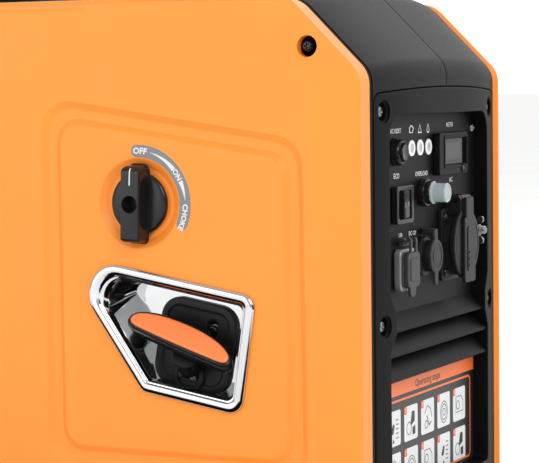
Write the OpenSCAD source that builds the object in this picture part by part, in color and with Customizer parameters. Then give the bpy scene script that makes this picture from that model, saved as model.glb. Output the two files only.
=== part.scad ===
// Portable suitcase generator. +X is the control panel end, -Y the recoil starter side,
// +Z up, origin on the floor under the middle of the case. Sizes are in millimetres.

/* [Overall] */
// Length over both crowned end faces
body_length = 510; // [425:1:612]
// Width over the two moulded side shells
body_width = 286; // [240:1:343]
// Height from the floor to the top of the carrying handle
body_height = 440; // [370:1:528]

/* [Case] */
// Wall of the moulded shells and covers
wall = 3; // [2.5:0.5:4]
// Depth of the groove that frames the starter side panel
groove_depth = 3; // [1.5:0.5:4]
// Crown of the end faces at the middle
end_crown = 4.6; // [2:0.1:7]
// Height of the rubber feet
foot_height = 14; // [10:1:20]

/* [Starter] */
// Angle at which the starter rope leaves the case, above level
pull_tilt = 40; // [30:1:50]
// Slope of the starter handle across its recess
handle_slope = 21; // [10:1:30]
// Length of the starter handle
handle_length = 84; // [70:1:90]
// Diameter of the choke knob base
knob_diameter = 41; // [36:1:42]

/* [Panel] */
// Depth of the control panel below the screw plane
panel_depth = 9; // [7:1:12]
// Side of the square AC socket flange
socket_flange = 50; // [46:1:52]

/* [Show] */
// Which sub-part to draw

/* [Hidden] */
$fn = 48;

// Proportions that let every group follow the three overall sizes
fx = body_length / 510;
fy = body_width / 286;
fz = body_height / 440;
engine_scale = min(fx, fy, fz);
panel_scale = min(fy, fz);
starter_scale = min(fx, fz);

// Case planes
end_x = body_length / 2 - 5;
shell_y = body_width / 2;
seam_y = 113 * fy;
tray_top = 33 * fz;
tray_floor = foot_height + 4;
bend_z = 323 * fz;
roof_z = 374 * fz;
chamfer_sum = end_x - 2.5 + bend_z;
bezel_top = 310.5 * fz;
rim_y = shell_y - 6;
crease_x = end_x - 28;
case_screw = [end_x - 35.2, bend_z + 18];
bezel_screw_y = seam_y - 16;
bezel_screw_z = [161 * fz, 299 * fz];
fit_gap = 0.4;
run_gap = 0.05;

// Control panel group: origin on the panel face, x out of it
panel_at = [end_x - panel_depth, 0, 236.5 * fz];
slab_back = panel_at.x - 5;
reset_at = [-59, 35.3];
breaker_at = [-11.3, 6.5];
ac_at = [41.7, -31.5];
dc_at = [-11.5, -36.5];
usb_at = [-50, -42.5];
eco_at = [-51, 0.5];
earth_at = [81, -25];
meter_low = [9.4, 16.9];
meter_size = [54, 29];
ac_hinge = [8.5, 30.4];
lug_radius = 3.4;
lid_notch_z = 18.5;
dc_hinge = [2, 17.5];
usb_hinge = [2.5, 17];
led_at = [[-29.8, 37], [-14.6, 37], [0.4, 37]];
window_half = [90, 60];

// Starter group: origin on the shell face, y into the case
starter_at = [end_x - 132, -shell_y, 150 * fz];
knob_at = [-22.5, 90.8];
bush_at = [3.5, 22, -23];
pull = [sin(pull_tilt) * sin(handle_slope), -cos(pull_tilt), sin(pull_tilt) * cos(handle_slope)];
panel_quad = [[-95, -86], [97.5, -86], [95.3, 132.7], [-96.2, 161.1]];
pick_quad = [[-21.1, -32.7], [51.1, -44.9], [62.7, 32.9], [-84.6, 58.4]];
floor_quad = [[-25, -31], [33, -40], [39, 25.5], [-30, 37.5]];
handle_face = 36;
handle_back = 24;
stem_start = 8;

// Engine group: origin on the crankshaft axis, y along it
engine_at = [30 * fx, 0, 125 * fz];
rope_radius = 2;
pulley_radius = 38;
crank_radius = 10;
shroud_radius = 90;

// Lid on the roof and door in the service side
cap_x = -165 * fx;
cap_z = roof_z + 11;
door_low = [-150 * fx, 82 * fz];
door_high = [50 * fx, 252 * fz];
door_knob = [20 * fx, 167 * fz];
door_face = shell_y + 0.8;

function unit(v) = v / norm(v);
function corner(a, b, c, r, n) = let(u = unit(a - b), v = unit(c - b), h = acos(u * v) / 2,
    m = b + unit(u + v) * r / sin(h), s = b + u * r / tan(h) - m, e = b + v * r / tan(h) - m,
    a0 = atan2(s.y, s.x), da = ((atan2(e.y, e.x) - a0 + 540) % 360) - 180)
    [for (i = [0:n]) m + r * [cos(a0 + da * i / n), sin(a0 + da * i / n)]];
function rounded(p, r, n = 6) = let(k = len(p))
    [for (i = [0:k - 1]) each corner(p[(i + k - 1) % k], p[i], p[(i + 1) % k], r[i], n)];
function inset(p, t) = let(k = len(p)) [for (i = [0:k - 1])
    let(u = unit(p[i] - p[(i + k - 1) % k]), v = unit(p[(i + 1) % k] - p[i]),
    a = [-u.y, u.x], b = [-v.y, v.x]) p[i] + (a + b) * t / (1 + a * b)];
function box_quad(w, h) = [[-w / 2, -h / 2], [w / 2, -h / 2], [w / 2, h / 2], [-w / 2, h / 2]];
function pick(t) = rounded(inset(pick_quad, t), [8, 10, 10, 20] - [1, 1, 1, 1] * min(t, 5));
// Side outline of the case, t inside the moulded skin
function side_outline(t) = let(x = end_x - t, z = roof_z - t, s = chamfer_sum + 2.5 - 1.414 * t)
    [[-x, tray_top], [x, tray_top], [x, s - x], [s - z, z], [z - s, z], [-x, s - x]];
// Outline of the centre cover, d outside its edge line
function cover_outline(d) = let(x = end_x - 3 + d, z = roof_z + 0.6 * d,
    s = chamfer_sum - 0.5 + 1.8 * d) [[-x, bezel_top], [x, bezel_top], [x, s - x], [s - z, z],
    [z - s, z], [-x, s - x]];
// The rope turns behind the recess, runs straight in to the pulley's plane, turns again at a
// guide and reaches the pulley at its tangent point
rope_turn = starter_at + starter_scale * (bush_at - 12 * pull);
pulley_y = -99 * engine_scale;
turn_flat = [rope_turn.x - engine_at.x, rope_turn.z - engine_at.z];
turn_angle = atan2(turn_flat.y, turn_flat.x) - acos(pulley_radius * engine_scale / norm(turn_flat));
rope_guide = [rope_turn.x, pulley_y, rope_turn.z];
rope_off = [engine_at.x + pulley_radius * engine_scale * cos(turn_angle), pulley_y,
    engine_at.z + pulley_radius * engine_scale * sin(turn_angle)];
// How far the starter handle stands out of the shell, matched by the door knob
handle_out = starter_scale * (-bush_at.y + (handle_face + 1.5) * cos(pull_tilt)
    + 9.5 * sin(pull_tilt));

module along_y(y0, y1) translate([0, y1, 0]) rotate([90, 0, 0]) linear_extrude(y1 - y0) children();
module along_x(x0, x1) translate([x0, 0, 0]) rotate([90, 0, 90]) linear_extrude(x1 - x0) children();
module rod_y(r, y0, y1, x, z) translate([x, y0, z]) rotate([-90, 0, 0]) cylinder(h = y1 - y0, r = r);
module rod_x(r, x0, x1, y, z) translate([x0, y, z]) rotate([0, 90, 0]) cylinder(h = x1 - x0, r = r);
module rod(a, b, r) {
    v = b - a;
    translate(a) rotate([0, acos(v.z / norm(v)), atan2(v.y, v.x)]) cylinder(h = norm(v), r = r);
}
module block(lo, hi) translate(lo) cube(hi - lo);
module in_panel() translate(panel_at) scale(panel_scale) children();
module in_starter() translate(starter_at) scale(starter_scale) children();
module in_engine() translate(engine_at) scale(engine_scale) children();
module in_handle() translate(bush_at) rotate([0, handle_slope, 0]) rotate([90 - pull_tilt, 0, 0])
    children();

// Outer envelope of a side shell on the -Y side, t inside its skin
module shell_envelope(t) {
    intersection() {
        along_y(-shell_y - 1, -seam_y + t) polygon(side_outline(t));
        translate([0, 0, tray_top - 1]) linear_extrude(roof_z)
            polygon([[-end_x + 2.5 + t, -seam_y + t], [-end_x + t, -rim_y], [-crease_x, -shell_y + t],
                [crease_x, -shell_y + t], [end_x - t, -rim_y], [end_x - 2.5 - t, -seam_y + t]]);
        along_x(-end_x, end_x) polygon([[-seam_y + t, tray_top - 1], [-seam_y + t, roof_z],
            [-shell_y + 14 + t, roof_z], [-shell_y + t, bend_z + 31 * fz], [-shell_y + t, tray_top - 1]]);
    }
}

module shell_blank() {
    difference() {
        shell_envelope(0);
        translate([0, 0, -0.01]) shell_envelope(wall);
    }
    for (m = [-1, 1]) intersection() {
        shell_envelope(wall / 2);
        rod_y(11, -shell_y + wall / 2, -shell_y + 18, m * case_screw.x, case_screw.y);
    }
}

module case_screw_holes() for (m = [-1, 1]) {
    rod_y(5.5, -shell_y - 1, -shell_y + 12, m * case_screw.x, case_screw.y);
    rod_y(2.2, -shell_y, -shell_y + 19, m * case_screw.x, case_screw.y);
    translate([m * case_screw.x, -shell_y - 0.01, case_screw.y]) rotate([-90, 0, 0])
        cylinder(h = 2.5, r1 = 9.5, r2 = 6.5);
}

module panel_frustum(t, r, y0, spread) hull() {
    along_y(y0, y0 + 0.01) polygon(rounded(inset(panel_quad, t), [1, 1, 1, 1] * r));
    along_y(-0.02, -0.01) polygon(rounded(inset(panel_quad, t - spread), [1, 1, 1, 1] * r));
}

module starter_side_shell() color("darkorange") difference() {
    union() {
        shell_blank();
        in_starter() along_y(wall / 2, groove_depth + wall)
            polygon(rounded(inset(panel_quad, -2), [1, 1, 1, 1] * 22));
    }
    case_screw_holes();
    in_starter() {
        difference() {
            panel_frustum(4, 20, groove_depth, 4);
            panel_frustum(14.5, 14, groove_depth, -4);
        }
        along_y(-1, 12) polygon(pick(5));
        hull() {
            along_y(-1.2, -0.7) polygon(pick(5));
            along_y(27.5, 28) polygon(rounded(inset(floor_quad, -2 - fit_gap), [6, 6, 8, 8]));
        }
        translate([knob_at.x, -0.01, knob_at.y]) rotate([-90, 0, 0])
            cylinder(h = 3, r1 = 29.5, r2 = knob_diameter / 2 + 1.5);
        rod_y(4 + run_gap, 0, 12, knob_at.x, knob_at.y);
    }
}

module service_side_shell() color("darkorange") difference() {
    mirror([0, 1, 0]) difference() {
        shell_blank();
        case_screw_holes();
    }
    along_y(shell_y - 8, shell_y + 2) polygon(rounded([door_low, [door_high.x, door_low.y], door_high,
        [door_low.x, door_high.y]], [1, 1, 1, 1] * 14));
}

module cover_half() {
    difference() {
        union() {
            hull() {
                along_y(0, 0.01) polygon(cover_outline(end_crown + 3));
                along_y(60 * fy, 60 * fy + 0.01) polygon(cover_outline(end_crown + 0.8));
            }
            hull() {
                along_y(60 * fy, 60 * fy + 0.01) polygon(cover_outline(end_crown + 0.8));
                along_y(seam_y - 0.01, seam_y) polygon(cover_outline(0));
            }
        }
        hull() {
            along_y(-1, 60 * fy) polygon(inset(cover_outline(end_crown), wall));
            along_y(60 * fy, seam_y + 1) polygon(inset(cover_outline(0), wall));
        }
        block([-end_x + wall + 4, -1, bezel_top - 1], [end_x - wall - 4, seam_y + 1, bezel_top + wall + 1]);
        translate([cap_x, 0, roof_z - 10]) cylinder(h = 30, r = 26);
    }
    difference() {
        along_y(0, 17) polygon(rounded([[-125 * fx, roof_z], [125 * fx, roof_z],
            [106 * fx, body_height], [-106 * fx, body_height]], [2, 2, 24, 24]));
        along_y(-1, 18) polygon(rounded([[-94 * fx, roof_z + 8], [94 * fx, roof_z + 8],
            [84 * fx, body_height - 24], [-84 * fx, body_height - 24]], [6, 6, 12, 12]));
    }
}
module center_cover_right() color([0.2, 0.2, 0.21]) cover_half();
module center_cover_left() color([0.2, 0.2, 0.21]) mirror([0, 1, 0]) cover_half();

module base_tray() color([0.16, 0.16, 0.17]) {
    difference() {
        block([-end_x + 3, -shell_y + 3, foot_height], [end_x - 3, shell_y - 3, tray_top]);
        block([-end_x + 7, -shell_y + 7, tray_floor], [end_x - 7, shell_y - 7, tray_top + 1]);
    }
}

module rubber_feet() color([0.1, 0.1, 0.1]) {
    for (x = [-1, 1], y = [-1, 1]) {
        translate([x * (end_x - 50), y * (shell_y - 43), 0]) cylinder(h = foot_height, r1 = 20, r2 = 22);
    }
    for (x = [-40, 40], y = [0, 48]) translate([engine_at.x + x * engine_scale, y * engine_scale,
        tray_floor]) cylinder(h = engine_at.z - 78 * engine_scale - tray_floor, r = 11 * engine_scale);
}

// Crowned slab that closes one end of the case between the shells
module end_slab() translate([0, 0, tray_top]) linear_extrude(bezel_top - tray_top)
    polygon([[slab_back, -seam_y], [end_x - 3, -seam_y], [end_x + 0.5, -97 * fy],
        [end_x + 0.8 * end_crown, -50 * fy], [end_x + end_crown, 0], [end_x + 0.8 * end_crown, 50 * fy],
        [end_x + 0.5, 97 * fy], [end_x - 3, seam_y], [slab_back, seam_y]]);

module bezel_screw_holes() for (y = [-1, 1], z = bezel_screw_z) {
    rod_x(7, end_x - 7, end_x + 9, y * bezel_screw_y, z);
    rod_x(2.2, slab_back - 1, end_x, y * bezel_screw_y, z);
}

module front_bezel() color([0.13, 0.13, 0.14]) {
    lips = [155, 139.5, 123.5];
    difference() {
        end_slab();
        bezel_screw_holes();
        in_panel() {
            along_x(-1, 30) polygon(rounded(box_quad(2 * window_half.x, 2 * window_half.y),
                [10, 10, 16, 16]));
            along_x(-10, 0) polygon(box_quad(2 * window_half.x + 8, 2 * window_half.y + 8));
        }
        along_x(slab_back - 1, end_x + 9) polygon([[-88 * fy, 119 * fz], [88 * fy, 119 * fz],
            [88 * fy, 148 * fz], [78 * fy, 170 * fz], [-78 * fy, 170 * fz], [-88 * fy, 148 * fz]]);
        block([panel_at.x - 2, -88 * fy, 43 * fz], [end_x + 9, 88 * fy, 119.1 * fz]);
    }
    block([slab_back, -88 * fy - 1, 117 * fz], [panel_at.x + 7, 88 * fy + 1, 119 * fz]);
    for (i = [0:2]) along_y((i == 0 ? -84 : -88.5) * fy, (i == 0 ? 84 : 88.5) * fy)
        polygon([[slab_back + 1, lips[i] * fz + 8], [end_x - 1.5, lips[i] * fz - 1.5],
            [end_x - 1.5, lips[i] * fz + 1.5], [slab_back + 1, lips[i] * fz + 11]]);
}

module rear_cover() color([0.13, 0.13, 0.14]) difference() {
    mirror([1, 0, 0]) difference() {
        end_slab();
        bezel_screw_holes();
    }
    for (i = [0:6]) for (s = [-1, 1])
        block([-end_x - 9, s > 0 ? 8 * fy : -86 * fy, (190 + 15 * i) * fz],
            [-slab_back + 1, s > 0 ? 86 * fy : -8 * fy, (197 + 15 * i) * fz]);
    rod_x(34 * engine_scale, -end_x - 9, -slab_back + 1, -38 * fy, 118 * fz);
}

// One pan head screw, head outwards along +Z, origin under the head
module screw() difference() {
    union() {
        cylinder(h = 3.2, r = 4.2);
        translate([0, 0, -9]) cylinder(h = 9, r = 2);
    }
    translate([0, 0, 2.6]) cube([4.8, 1.2, 2.6], center = true);
    translate([0, 0, 2.6]) cube([1.2, 4.8, 2.6], center = true);
}

module case_screws() color([0.3, 0.3, 0.32]) {
    for (m = [-1, 1], y = [-1, 1], z = bezel_screw_z) translate([m * (end_x - 7), y * bezel_screw_y, z])
        rotate([0, m * 90, 0]) screw();
    for (m = [-1, 1], y = [-1, 1]) translate([m * case_screw.x, y * (shell_y - 12), case_screw.y])
        rotate([-y * 90, 0, 0]) screw();
}

module control_panel() color([0.12, 0.12, 0.13]) in_panel() difference() {
    along_x(-3, 0) polygon(box_quad(2 * window_half.x + 7, 2 * window_half.y + 7));
    rod_x(6.6, -4, 1, reset_at.x, reset_at.y);
    rod_x(4.6, -4, 1, breaker_at.x, breaker_at.y);
    rod_x(21.3, -4, 1, ac_at.x, ac_at.y);
    rod_x(10, -4, 1, dc_at.x, dc_at.y);
    block([-4, usb_at.x - 9, usb_at.y - 10], [1, usb_at.x + 9, usb_at.y + 10]);
    block([-4, eco_at.x - 12.7, eco_at.y - 11.2], [1, eco_at.x + 12.7, eco_at.y + 11.2]);
    block([-4, 13, 20], [1, 60, 43]);
}

module instruction_label() color([0.8, 0.8, 0.78])
    block([panel_at.x - 2, -86 * fy, 45 * fz], [panel_at.x - 1, 86 * fy, 116.5 * fz]);

module breaker_rings() color([0.25, 0.25, 0.26]) in_panel() {
    difference() {
        union() {
            rod_x(8.7, 0, 3.5, reset_at.x, reset_at.y);
            translate([3.5, reset_at.x, reset_at.y]) rotate([0, 90, 0]) cylinder(h = 3, r1 = 8.7, r2 = 7);
        }
        rod_x(6.35, -1, 9, reset_at.x, reset_at.y);
    }
    difference() {
        union() {
            rod_x(9.5, 0, 4.5, breaker_at.x, breaker_at.y);
            rod_x(8, 4.5, 8, breaker_at.x, breaker_at.y);
        }
        rod_x(4.4, -1, 9, breaker_at.x, breaker_at.y);
    }
}
module reset_button() color([0.15, 0.12, 0.12]) in_panel() rod_x(6, -2, 8, reset_at.x, reset_at.y);
module breaker_button() color([0.9, 0.9, 0.9]) in_panel()
    rod_x(4, -2, 14, breaker_at.x, breaker_at.y);
module breaker_boot() color([0.75, 0.85, 0.9, 0.5]) in_panel() difference() {
    rod_x(6.6, 8, 19, breaker_at.x, breaker_at.y);
    rod_x(5.4, 7, 17.8, breaker_at.x, breaker_at.y);
}
module indicator_leds() color("white") in_panel() for (p = led_at) rod_x(5.4, 0, 0.6, p.x, p.y);

module meter_housing() color([0.14, 0.14, 0.15]) in_panel() difference() {
    union() {
        translate([0, meter_low.x + meter_size.x / 2, meter_low.y + meter_size.y / 2])
            along_x(0, 5) polygon(rounded(box_quad(meter_size.x, meter_size.y), [2, 2, 2, 2]));
        block([-22, 13, 20], [0, 60, 43]);
    }
    block([2.5, 20, 24], [6, 60, 41.5]);
    rod_x(2.3, 1, 6, 53.8, 20.6);
}
module meter_window() color([0.2, 0.24, 0.22, 0.7]) in_panel() block([2.5, 20, 24], [4, 60, 41.5]);
module meter_button() color([0.2, 0.2, 0.2]) in_panel() rod_x(1.95, 2, 5.6, 53.8, 20.6);

module eco_switch_frame() color([0.1, 0.1, 0.1]) in_panel() difference() {
    union() {
        translate([0, eco_at.x, eco_at.y]) along_x(0, 4.5) polygon(rounded(box_quad(29, 25), [2, 2, 2, 2]));
        block([-16, eco_at.x - 12.5, eco_at.y - 11], [0, eco_at.x + 12.5, eco_at.y + 11]);
    }
    block([-13, eco_at.x - 10.5, eco_at.y - 9.5], [6, eco_at.x + 10.5, eco_at.y + 9.5]);
}
module eco_rocker() color([0.2, 0.2, 0.2]) in_panel() translate([0, eco_at.x, eco_at.y - 9])
    rotate([0, 0, 11]) linear_extrude(18) polygon([[-5, -6], [5.5, -9], [4.3, 0], [5.5, 9], [-5, 6]]);

module ac_socket() color([0.1, 0.1, 0.11]) in_panel() translate([0, ac_at.x, ac_at.y]) difference() {
    union() {
        along_x(0, 3.4) polygon(rounded(box_quad(socket_flange, socket_flange), [3, 3, 3, 3]));
        rod_x(22.5, 3.4, 8.4, 0, 0);
        rod_x(21, -28, 0, 0, 0);
        for (y = [-11, 7.8]) {
            block([0, y, 20], [ac_hinge.x + lug_radius, y + 3.2, ac_hinge.y]);
            rod_y(lug_radius, y, y + 3.2, ac_hinge.x, ac_hinge.y);
        }
        rod_y(1.5, -10, 10, ac_hinge.x, ac_hinge.y);
    }
    rod_x(19.5, -9, 9, 0, 0);
    for (s = [-1, 1]) rod_x(2.5, -26, 0, s * 9.5, 0);
}
module ac_lid() color([0.12, 0.12, 0.13]) in_panel() translate([0, ac_at.x, ac_at.y]) difference() {
    union() {
        rod_x(24.5, 8.8, 12.5, 0, 0);
        block([12.5, -10.5, -27], [15, 10.5, ac_hinge.y + 4]);
        block([ac_hinge.x - 3, -7.4, ac_hinge.y - 3], [13, 7.4, ac_hinge.y + 3]);
    }
    rod_y(1.5 + run_gap, -9, 9, ac_hinge.x, ac_hinge.y);
    for (y = [-11.4, 7.5]) block([ac_hinge.x - 5, y, lid_notch_z], [12.4, y + 3.9, ac_hinge.y + 5]);
}

module dc_socket() color([0.1, 0.1, 0.1]) in_panel() translate([0, dc_at.x, dc_at.y]) difference() {
    union() {
        rod_x(13.5, 0, 3, 0, 0);
        rod_x(10.8, 3, 8, 0, 0);
        rod_x(9.8, -25, 0, 0, 0);
    }
    rod_x(8.8, -22, 9, 0, 0);
}
module dc_cap() color([0.09, 0.09, 0.09]) in_panel() translate([0, dc_at.x, dc_at.y]) {
    rod_x(11.5, 8.4, 11, 0, 0);
    block([8.4, -3, 8], [10.6, 3, dc_hinge.y + 1]);
    block([dc_hinge.x - 1, -3, dc_hinge.y - 1.5], [10.6, 3, dc_hinge.y + 1]);
    block([9, -2.5, -19], [10.6, 2.5, -9]);
}

module usb_socket() color([0.6, 0.6, 0.62]) in_panel() translate([0, usb_at.x, usb_at.y]) difference() {
    union() {
        along_x(0, 4) polygon(rounded(box_quad(26, 28), [4, 4, 4, 4]));
        along_x(4, 6) polygon(rounded(box_quad(24, 26), [4, 4, 4, 4]));
        block([-15, -8.8, -9.8], [0, 8.8, 9.8]);
    }
    for (s = [-1, 1]) block([-12, -6.7, s * 5.5 - 2.8], [7, 6.7, s * 5.5 + 2.8]);
}
module usb_cap() color([0.15, 0.15, 0.15]) in_panel() translate([0, usb_at.x, usb_at.y]) {
    along_x(6.4, 10) polygon(rounded(box_quad(21, 23), [4, 4, 4, 4]));
    block([6.4, -6, 10], [9, 6, usb_hinge.y + 1]);
    block([usb_hinge.x - 1.5, -6, usb_hinge.y - 1.5], [9, 6, usb_hinge.y + 1]);
    block([7, -4, -17.5], [9, 4, -10]);
}

module earth_stud() color("silver") in_panel() translate([0, earth_at.x, earth_at.y]) {
    rod_x(7.5, 0, 1.7, 0, 0);
    rod_x(3, 1.7, 12, 0, 0);
}
module wing_nut() color("silver") in_panel() translate([0, earth_at.x, earth_at.y]) difference() {
    union() {
        rod_x(4.8, 2.1, 7.5, 0, 0);
        block([4, -1.1, -8], [10.5, 1.1, 8]);
    }
    rod_x(3 + run_gap, 1, 12, 0, 0);
}

module choke_knob() color([0.13, 0.13, 0.14]) in_starter() translate([knob_at.x, 0, knob_at.y])
    difference() {
        union() {
            rod_y(knob_diameter / 2, -0.3, 2.7, 0, 0);
            along_y(-11, -0.3) polygon(rounded(box_quad(12.6, 50), [3, 3, 5, 5]));
        }
        rod_y(5.2, -12, -3, 0, 0);
    }
module choke_shaft() color([0.6, 0.6, 0.6]) in_starter() translate([knob_at.x, 0, knob_at.y]) {
    rod_y(4, 2.7, 16, 0, 0);
    rod_y(15, 16, 21, 0, 0);
    along_y(16, 21) polygon([[-5, 0], [5, 0], [4, 24], [-4, 24]]);
}
module dial_decal() color([0.7, 0.7, 0.7]) in_starter() translate([knob_at.x, 0, knob_at.y])
    along_y(-0.3, 0) polygon(concat([for (a = [-22:6:92]) 38.3 * [cos(a), sin(a)]],
        [for (a = [92:-6:-22]) 30.2 * [cos(a), sin(a)]]));

module starter_bezel() color([0.85, 0.85, 0.87]) in_starter() difference() {
    union() {
        along_y(-3, 0) polygon(pick(0));
        hull() {
            along_y(-1, -0.5) polygon(pick(5.6));
            along_y(27.5, 28) polygon(rounded(inset(floor_quad, -2), [6, 6, 8, 8]));
        }
    }
    along_y(-4, 0) polygon(pick(7.6));
    hull() {
        along_y(-0.5, 0.5) polygon(pick(7.8));
        along_y(25.5, 26) polygon(rounded(floor_quad, [5, 5, 7, 7]));
    }
    rod_y(7, 25, 29, bush_at.x, bush_at.z - 3);
}
module guide_plate() color([0.15, 0.15, 0.16]) in_starter() difference() {
    union() {
        translate([5.5, 0, -4]) rotate([0, 10, 0]) along_y(22, 26)
            polygon(rounded(box_quad(52, 56), [12, 12, 12, 12]));
        rod_y(10, 20.5, 24, bush_at.x, bush_at.z - 1);
    }
    rod_y(7, 15, 29, bush_at.x, bush_at.z - 1);
    rod_y(4.5, 15, 24, bush_at.x + 2, bush_at.z + 32);
}

// Leaf outline of the starter handle, t inside its edge
function leaf(t) = let(h = handle_length / 2 - t) [[-h, -7 + t], [h - 3, -9.5 + t], [h, -7 + t],
    [0.97 * h, -3], [0.8 * h, 3.5 - t / 2], [0.5 * h, 9 - t], [0.2 * h, 11 - t], [-0.15 * h, 11.5 - t],
    [-0.5 * h, 10 - t], [-0.8 * h, 6 - t], [-0.97 * h, 0]];
module starter_handle() color([0.15, 0.15, 0.15]) in_starter() in_handle() {
    translate([-3, 0, handle_back]) linear_extrude(handle_face - handle_back) polygon(leaf(0));
    translate([0, 0, stem_start]) cylinder(h = handle_back - stem_start, r = 7.5);
}
module handle_insert() color("darkorange") in_starter() in_handle()
    translate([-3, 0, handle_face]) linear_extrude(1.5) polygon(leaf(2));
module starter_rope() color([0.75, 0.75, 0.72]) {
    top = starter_at + starter_scale * (bush_at + stem_start * pull);
    rod(rope_turn, top, rope_radius);
    translate(rope_turn) sphere(r = rope_radius + 0.3);
    rod(rope_guide, rope_turn, rope_radius);
    translate(rope_guide) sphere(r = rope_radius + 0.3);
    rod(rope_off, rope_guide, rope_radius);
}

module recoil_housing() color([0.2, 0.2, 0.2]) difference() {
    in_engine() {
        rod_y(60, -111, -109, 0, 0);
        difference() {
            rod_y(60, -109, -92, 0, 0);
            rod_y(57, -110, -91, 0, 0);
        }
        rod_y(5, -109, -94, 0, 0);
    }
    rod(rope_off, rope_guide, 6);
}
module recoil_pulley() color([0.7, 0.68, 0.6]) in_engine() difference() {
    union() {
        rod_y(43, -105.8, -104.8, 0, 0);
        rod_y(35.5, -104.8, -94.5, 0, 0);
        rod_y(43, -94.5, -93, 0, 0);
    }
    rod_y(5 + run_gap, -106, -92, 0, 0);
}
module recoil_spring() color([0.35, 0.35, 0.4]) in_engine() along_y(-108.6, -106.2)
    polygon(concat([for (a = [0:20:1080]) (9 + a / 60) * [cos(a), sin(a)]],
        [for (a = [1080:-20:0]) (8 + a / 60) * [cos(a), sin(a)]]));

module fan_shroud() color([0.25, 0.25, 0.26]) in_engine() difference() {
    rod_y(shroud_radius, -92, -19, 0, 0);
    rod_y(shroud_radius - 2, -90, -18, 0, 0);
    rod_y(20, -93, -89, 0, 0);
    for (a = [0:30:330]) rotate([0, a, 0]) block([64, -93, -6], [84, -89, 6]);
}
module flywheel_fan() color([0.5, 0.5, 0.52]) in_engine() {
    difference() {
        union() {
            rod_y(80, -78, -72, 0, 0);
            rod_y(80, -72, -34, 0, 0);
        }
        rod_y(74, -72, -33, 0, 0);
        rod_y(crank_radius, -79, -60, 0, 0);
    }
    difference() {
        rod_y(16, -72, -66, 0, 0);
        rod_y(crank_radius, -79, -60, 0, 0);
    }
    for (a = [0:30:330]) rotate([0, a, 0]) block([40, -87, -1.2], [78, -78, 1.2]);
}
module crankshaft() color([0.6, 0.6, 0.6]) in_engine() {
    rod_y(crank_radius - 0.1, -86, -66, 0, 0);
    rod_y(crank_radius, -66, 10, 0, 0);
    rod_y(crank_radius + 4, -66, -62.5, 0, 0);
    rod_y(34, 10, 18, 0, 0);
    rod_y(9, 18, 30, -20, 0);
    rod_y(34, 30, 38, 0, 0);
    rod_y(crank_radius, 38, 60, 0, 0);
}
module stator() color([0.7, 0.4, 0.2]) in_engine() difference() {
    union() {
        rod_y(50, -60, -34, 0, 0);
        for (a = [0:20:340]) rotate([0, a, 0]) block([48, -58, -4], [70, -36, 4]);
    }
    rod_y(24, -61, -33, 0, 0);
}
module crankcase() color([0.7, 0.7, 0.72]) in_engine() difference() {
    union() {
        block([-60, -15, -70], [60, 62, 60]);
        rod_y(shroud_radius, -19, -15, 0, 0);
        rod_y(30, -34, -19, 0, 0);
        rod_y(23, -60, -34, 0, 0);
        block([-58, -15, -78], [58, 62, -70]);
    }
    block([-54, -9, -64], [54, 56, 54]);
    rod_y(crank_radius + run_gap, -61, 63, 0, 0);
    rod_y(7.5, 55, 63, 38, -40);
}
module engine_cylinder() color([0.68, 0.68, 0.7]) in_engine() {
    rod_x(30, -125, -60, 22, 0);
    for (i = [0:8]) block([-67 - 7 * i, -14, -46], [-64 - 7 * i, 66, 50]);
    block([-150, -20, -40], [-125, 64, 44]);
    block([-170, -12, -32], [-150, 56, 36]);
}

module spark_plug() color("white") in_engine() {
    translate([-137, 22, 44]) cylinder(h = 6, r = 8, $fn = 6);
    translate([-137, 22, 50]) cylinder(h = 14, r = 5);
}
module ignition_coil() color([0.1, 0.1, 0.1]) in_engine() {
    block([-20, -10, 60], [20, 20, 84]);
    difference() {
        translate([-137, 22, 52]) cylinder(h = 26, r = 8.5);
        translate([-137, 22, 51]) cylinder(h = 13, r = 5 + fit_gap);
    }
    rod([-137, 22, 73], [-115, 10, 80], 3.5);
    translate([-115, 10, 80]) sphere(r = 3.9);
    rod([-115, 10, 80], [-20, 5, 75], 3.5);
}
module muffler() color([0.55, 0.5, 0.46]) {
    pipe_z = engine_at.z - 7 * engine_scale;
    out = [-end_x - 10, -38 * fy, 118 * fz];
    difference() {
        union() {
            block([-end_x + 22, -92 * fy, 72 * fz], [-150 * fx, 12 * fy, 188 * fz]);
            rod_x(12, out.x, -end_x + 30, out.y, out.z);
            rod([-155 * fx, -38 * engine_scale, pipe_z],
                [engine_at.x - 137 * engine_scale, -38 * engine_scale, pipe_z], 11 * engine_scale);
            translate([engine_at.x - 137 * engine_scale, -38 * engine_scale, pipe_z])
                sphere(r = 11 * engine_scale);
            rod([engine_at.x - 137 * engine_scale, -38 * engine_scale, pipe_z],
                [engine_at.x - 137 * engine_scale, -20 * engine_scale, pipe_z], 11 * engine_scale);
        }
        rod_x(10, out.x - 1, -end_x + 36, out.y, out.z);
    }
}
module carburettor() color([0.65, 0.65, 0.67]) in_engine() {
    rod_y(13, 64, 92, -137, 10);
    block([-152, 70, -16], [-124, 86, 26]);
    rod([-137, 78, -30], [-137, 78, -15], 12);
}
module air_filter_box() color([0.12, 0.12, 0.12]) in_engine()
    block([-175, 92, -30], [-95, 120, 55]);
module fuel_tank() color([0.15, 0.15, 0.15]) difference() {
    union() {
        block([-208 * fx, -96 * fy, 246 * fz], [-82 * fx, 96 * fy, roof_z - 22]);
        translate([cap_x, 0, roof_z - 23]) cylinder(h = cap_z - 0.4 - roof_z + 23, r = 24);
    }
    block([-205 * fx, -93 * fy, 249 * fz], [-85 * fx, 93 * fy, roof_z - 25]);
    translate([cap_x, 0, roof_z - 30]) cylinder(h = 60, r = 20);
}
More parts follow.
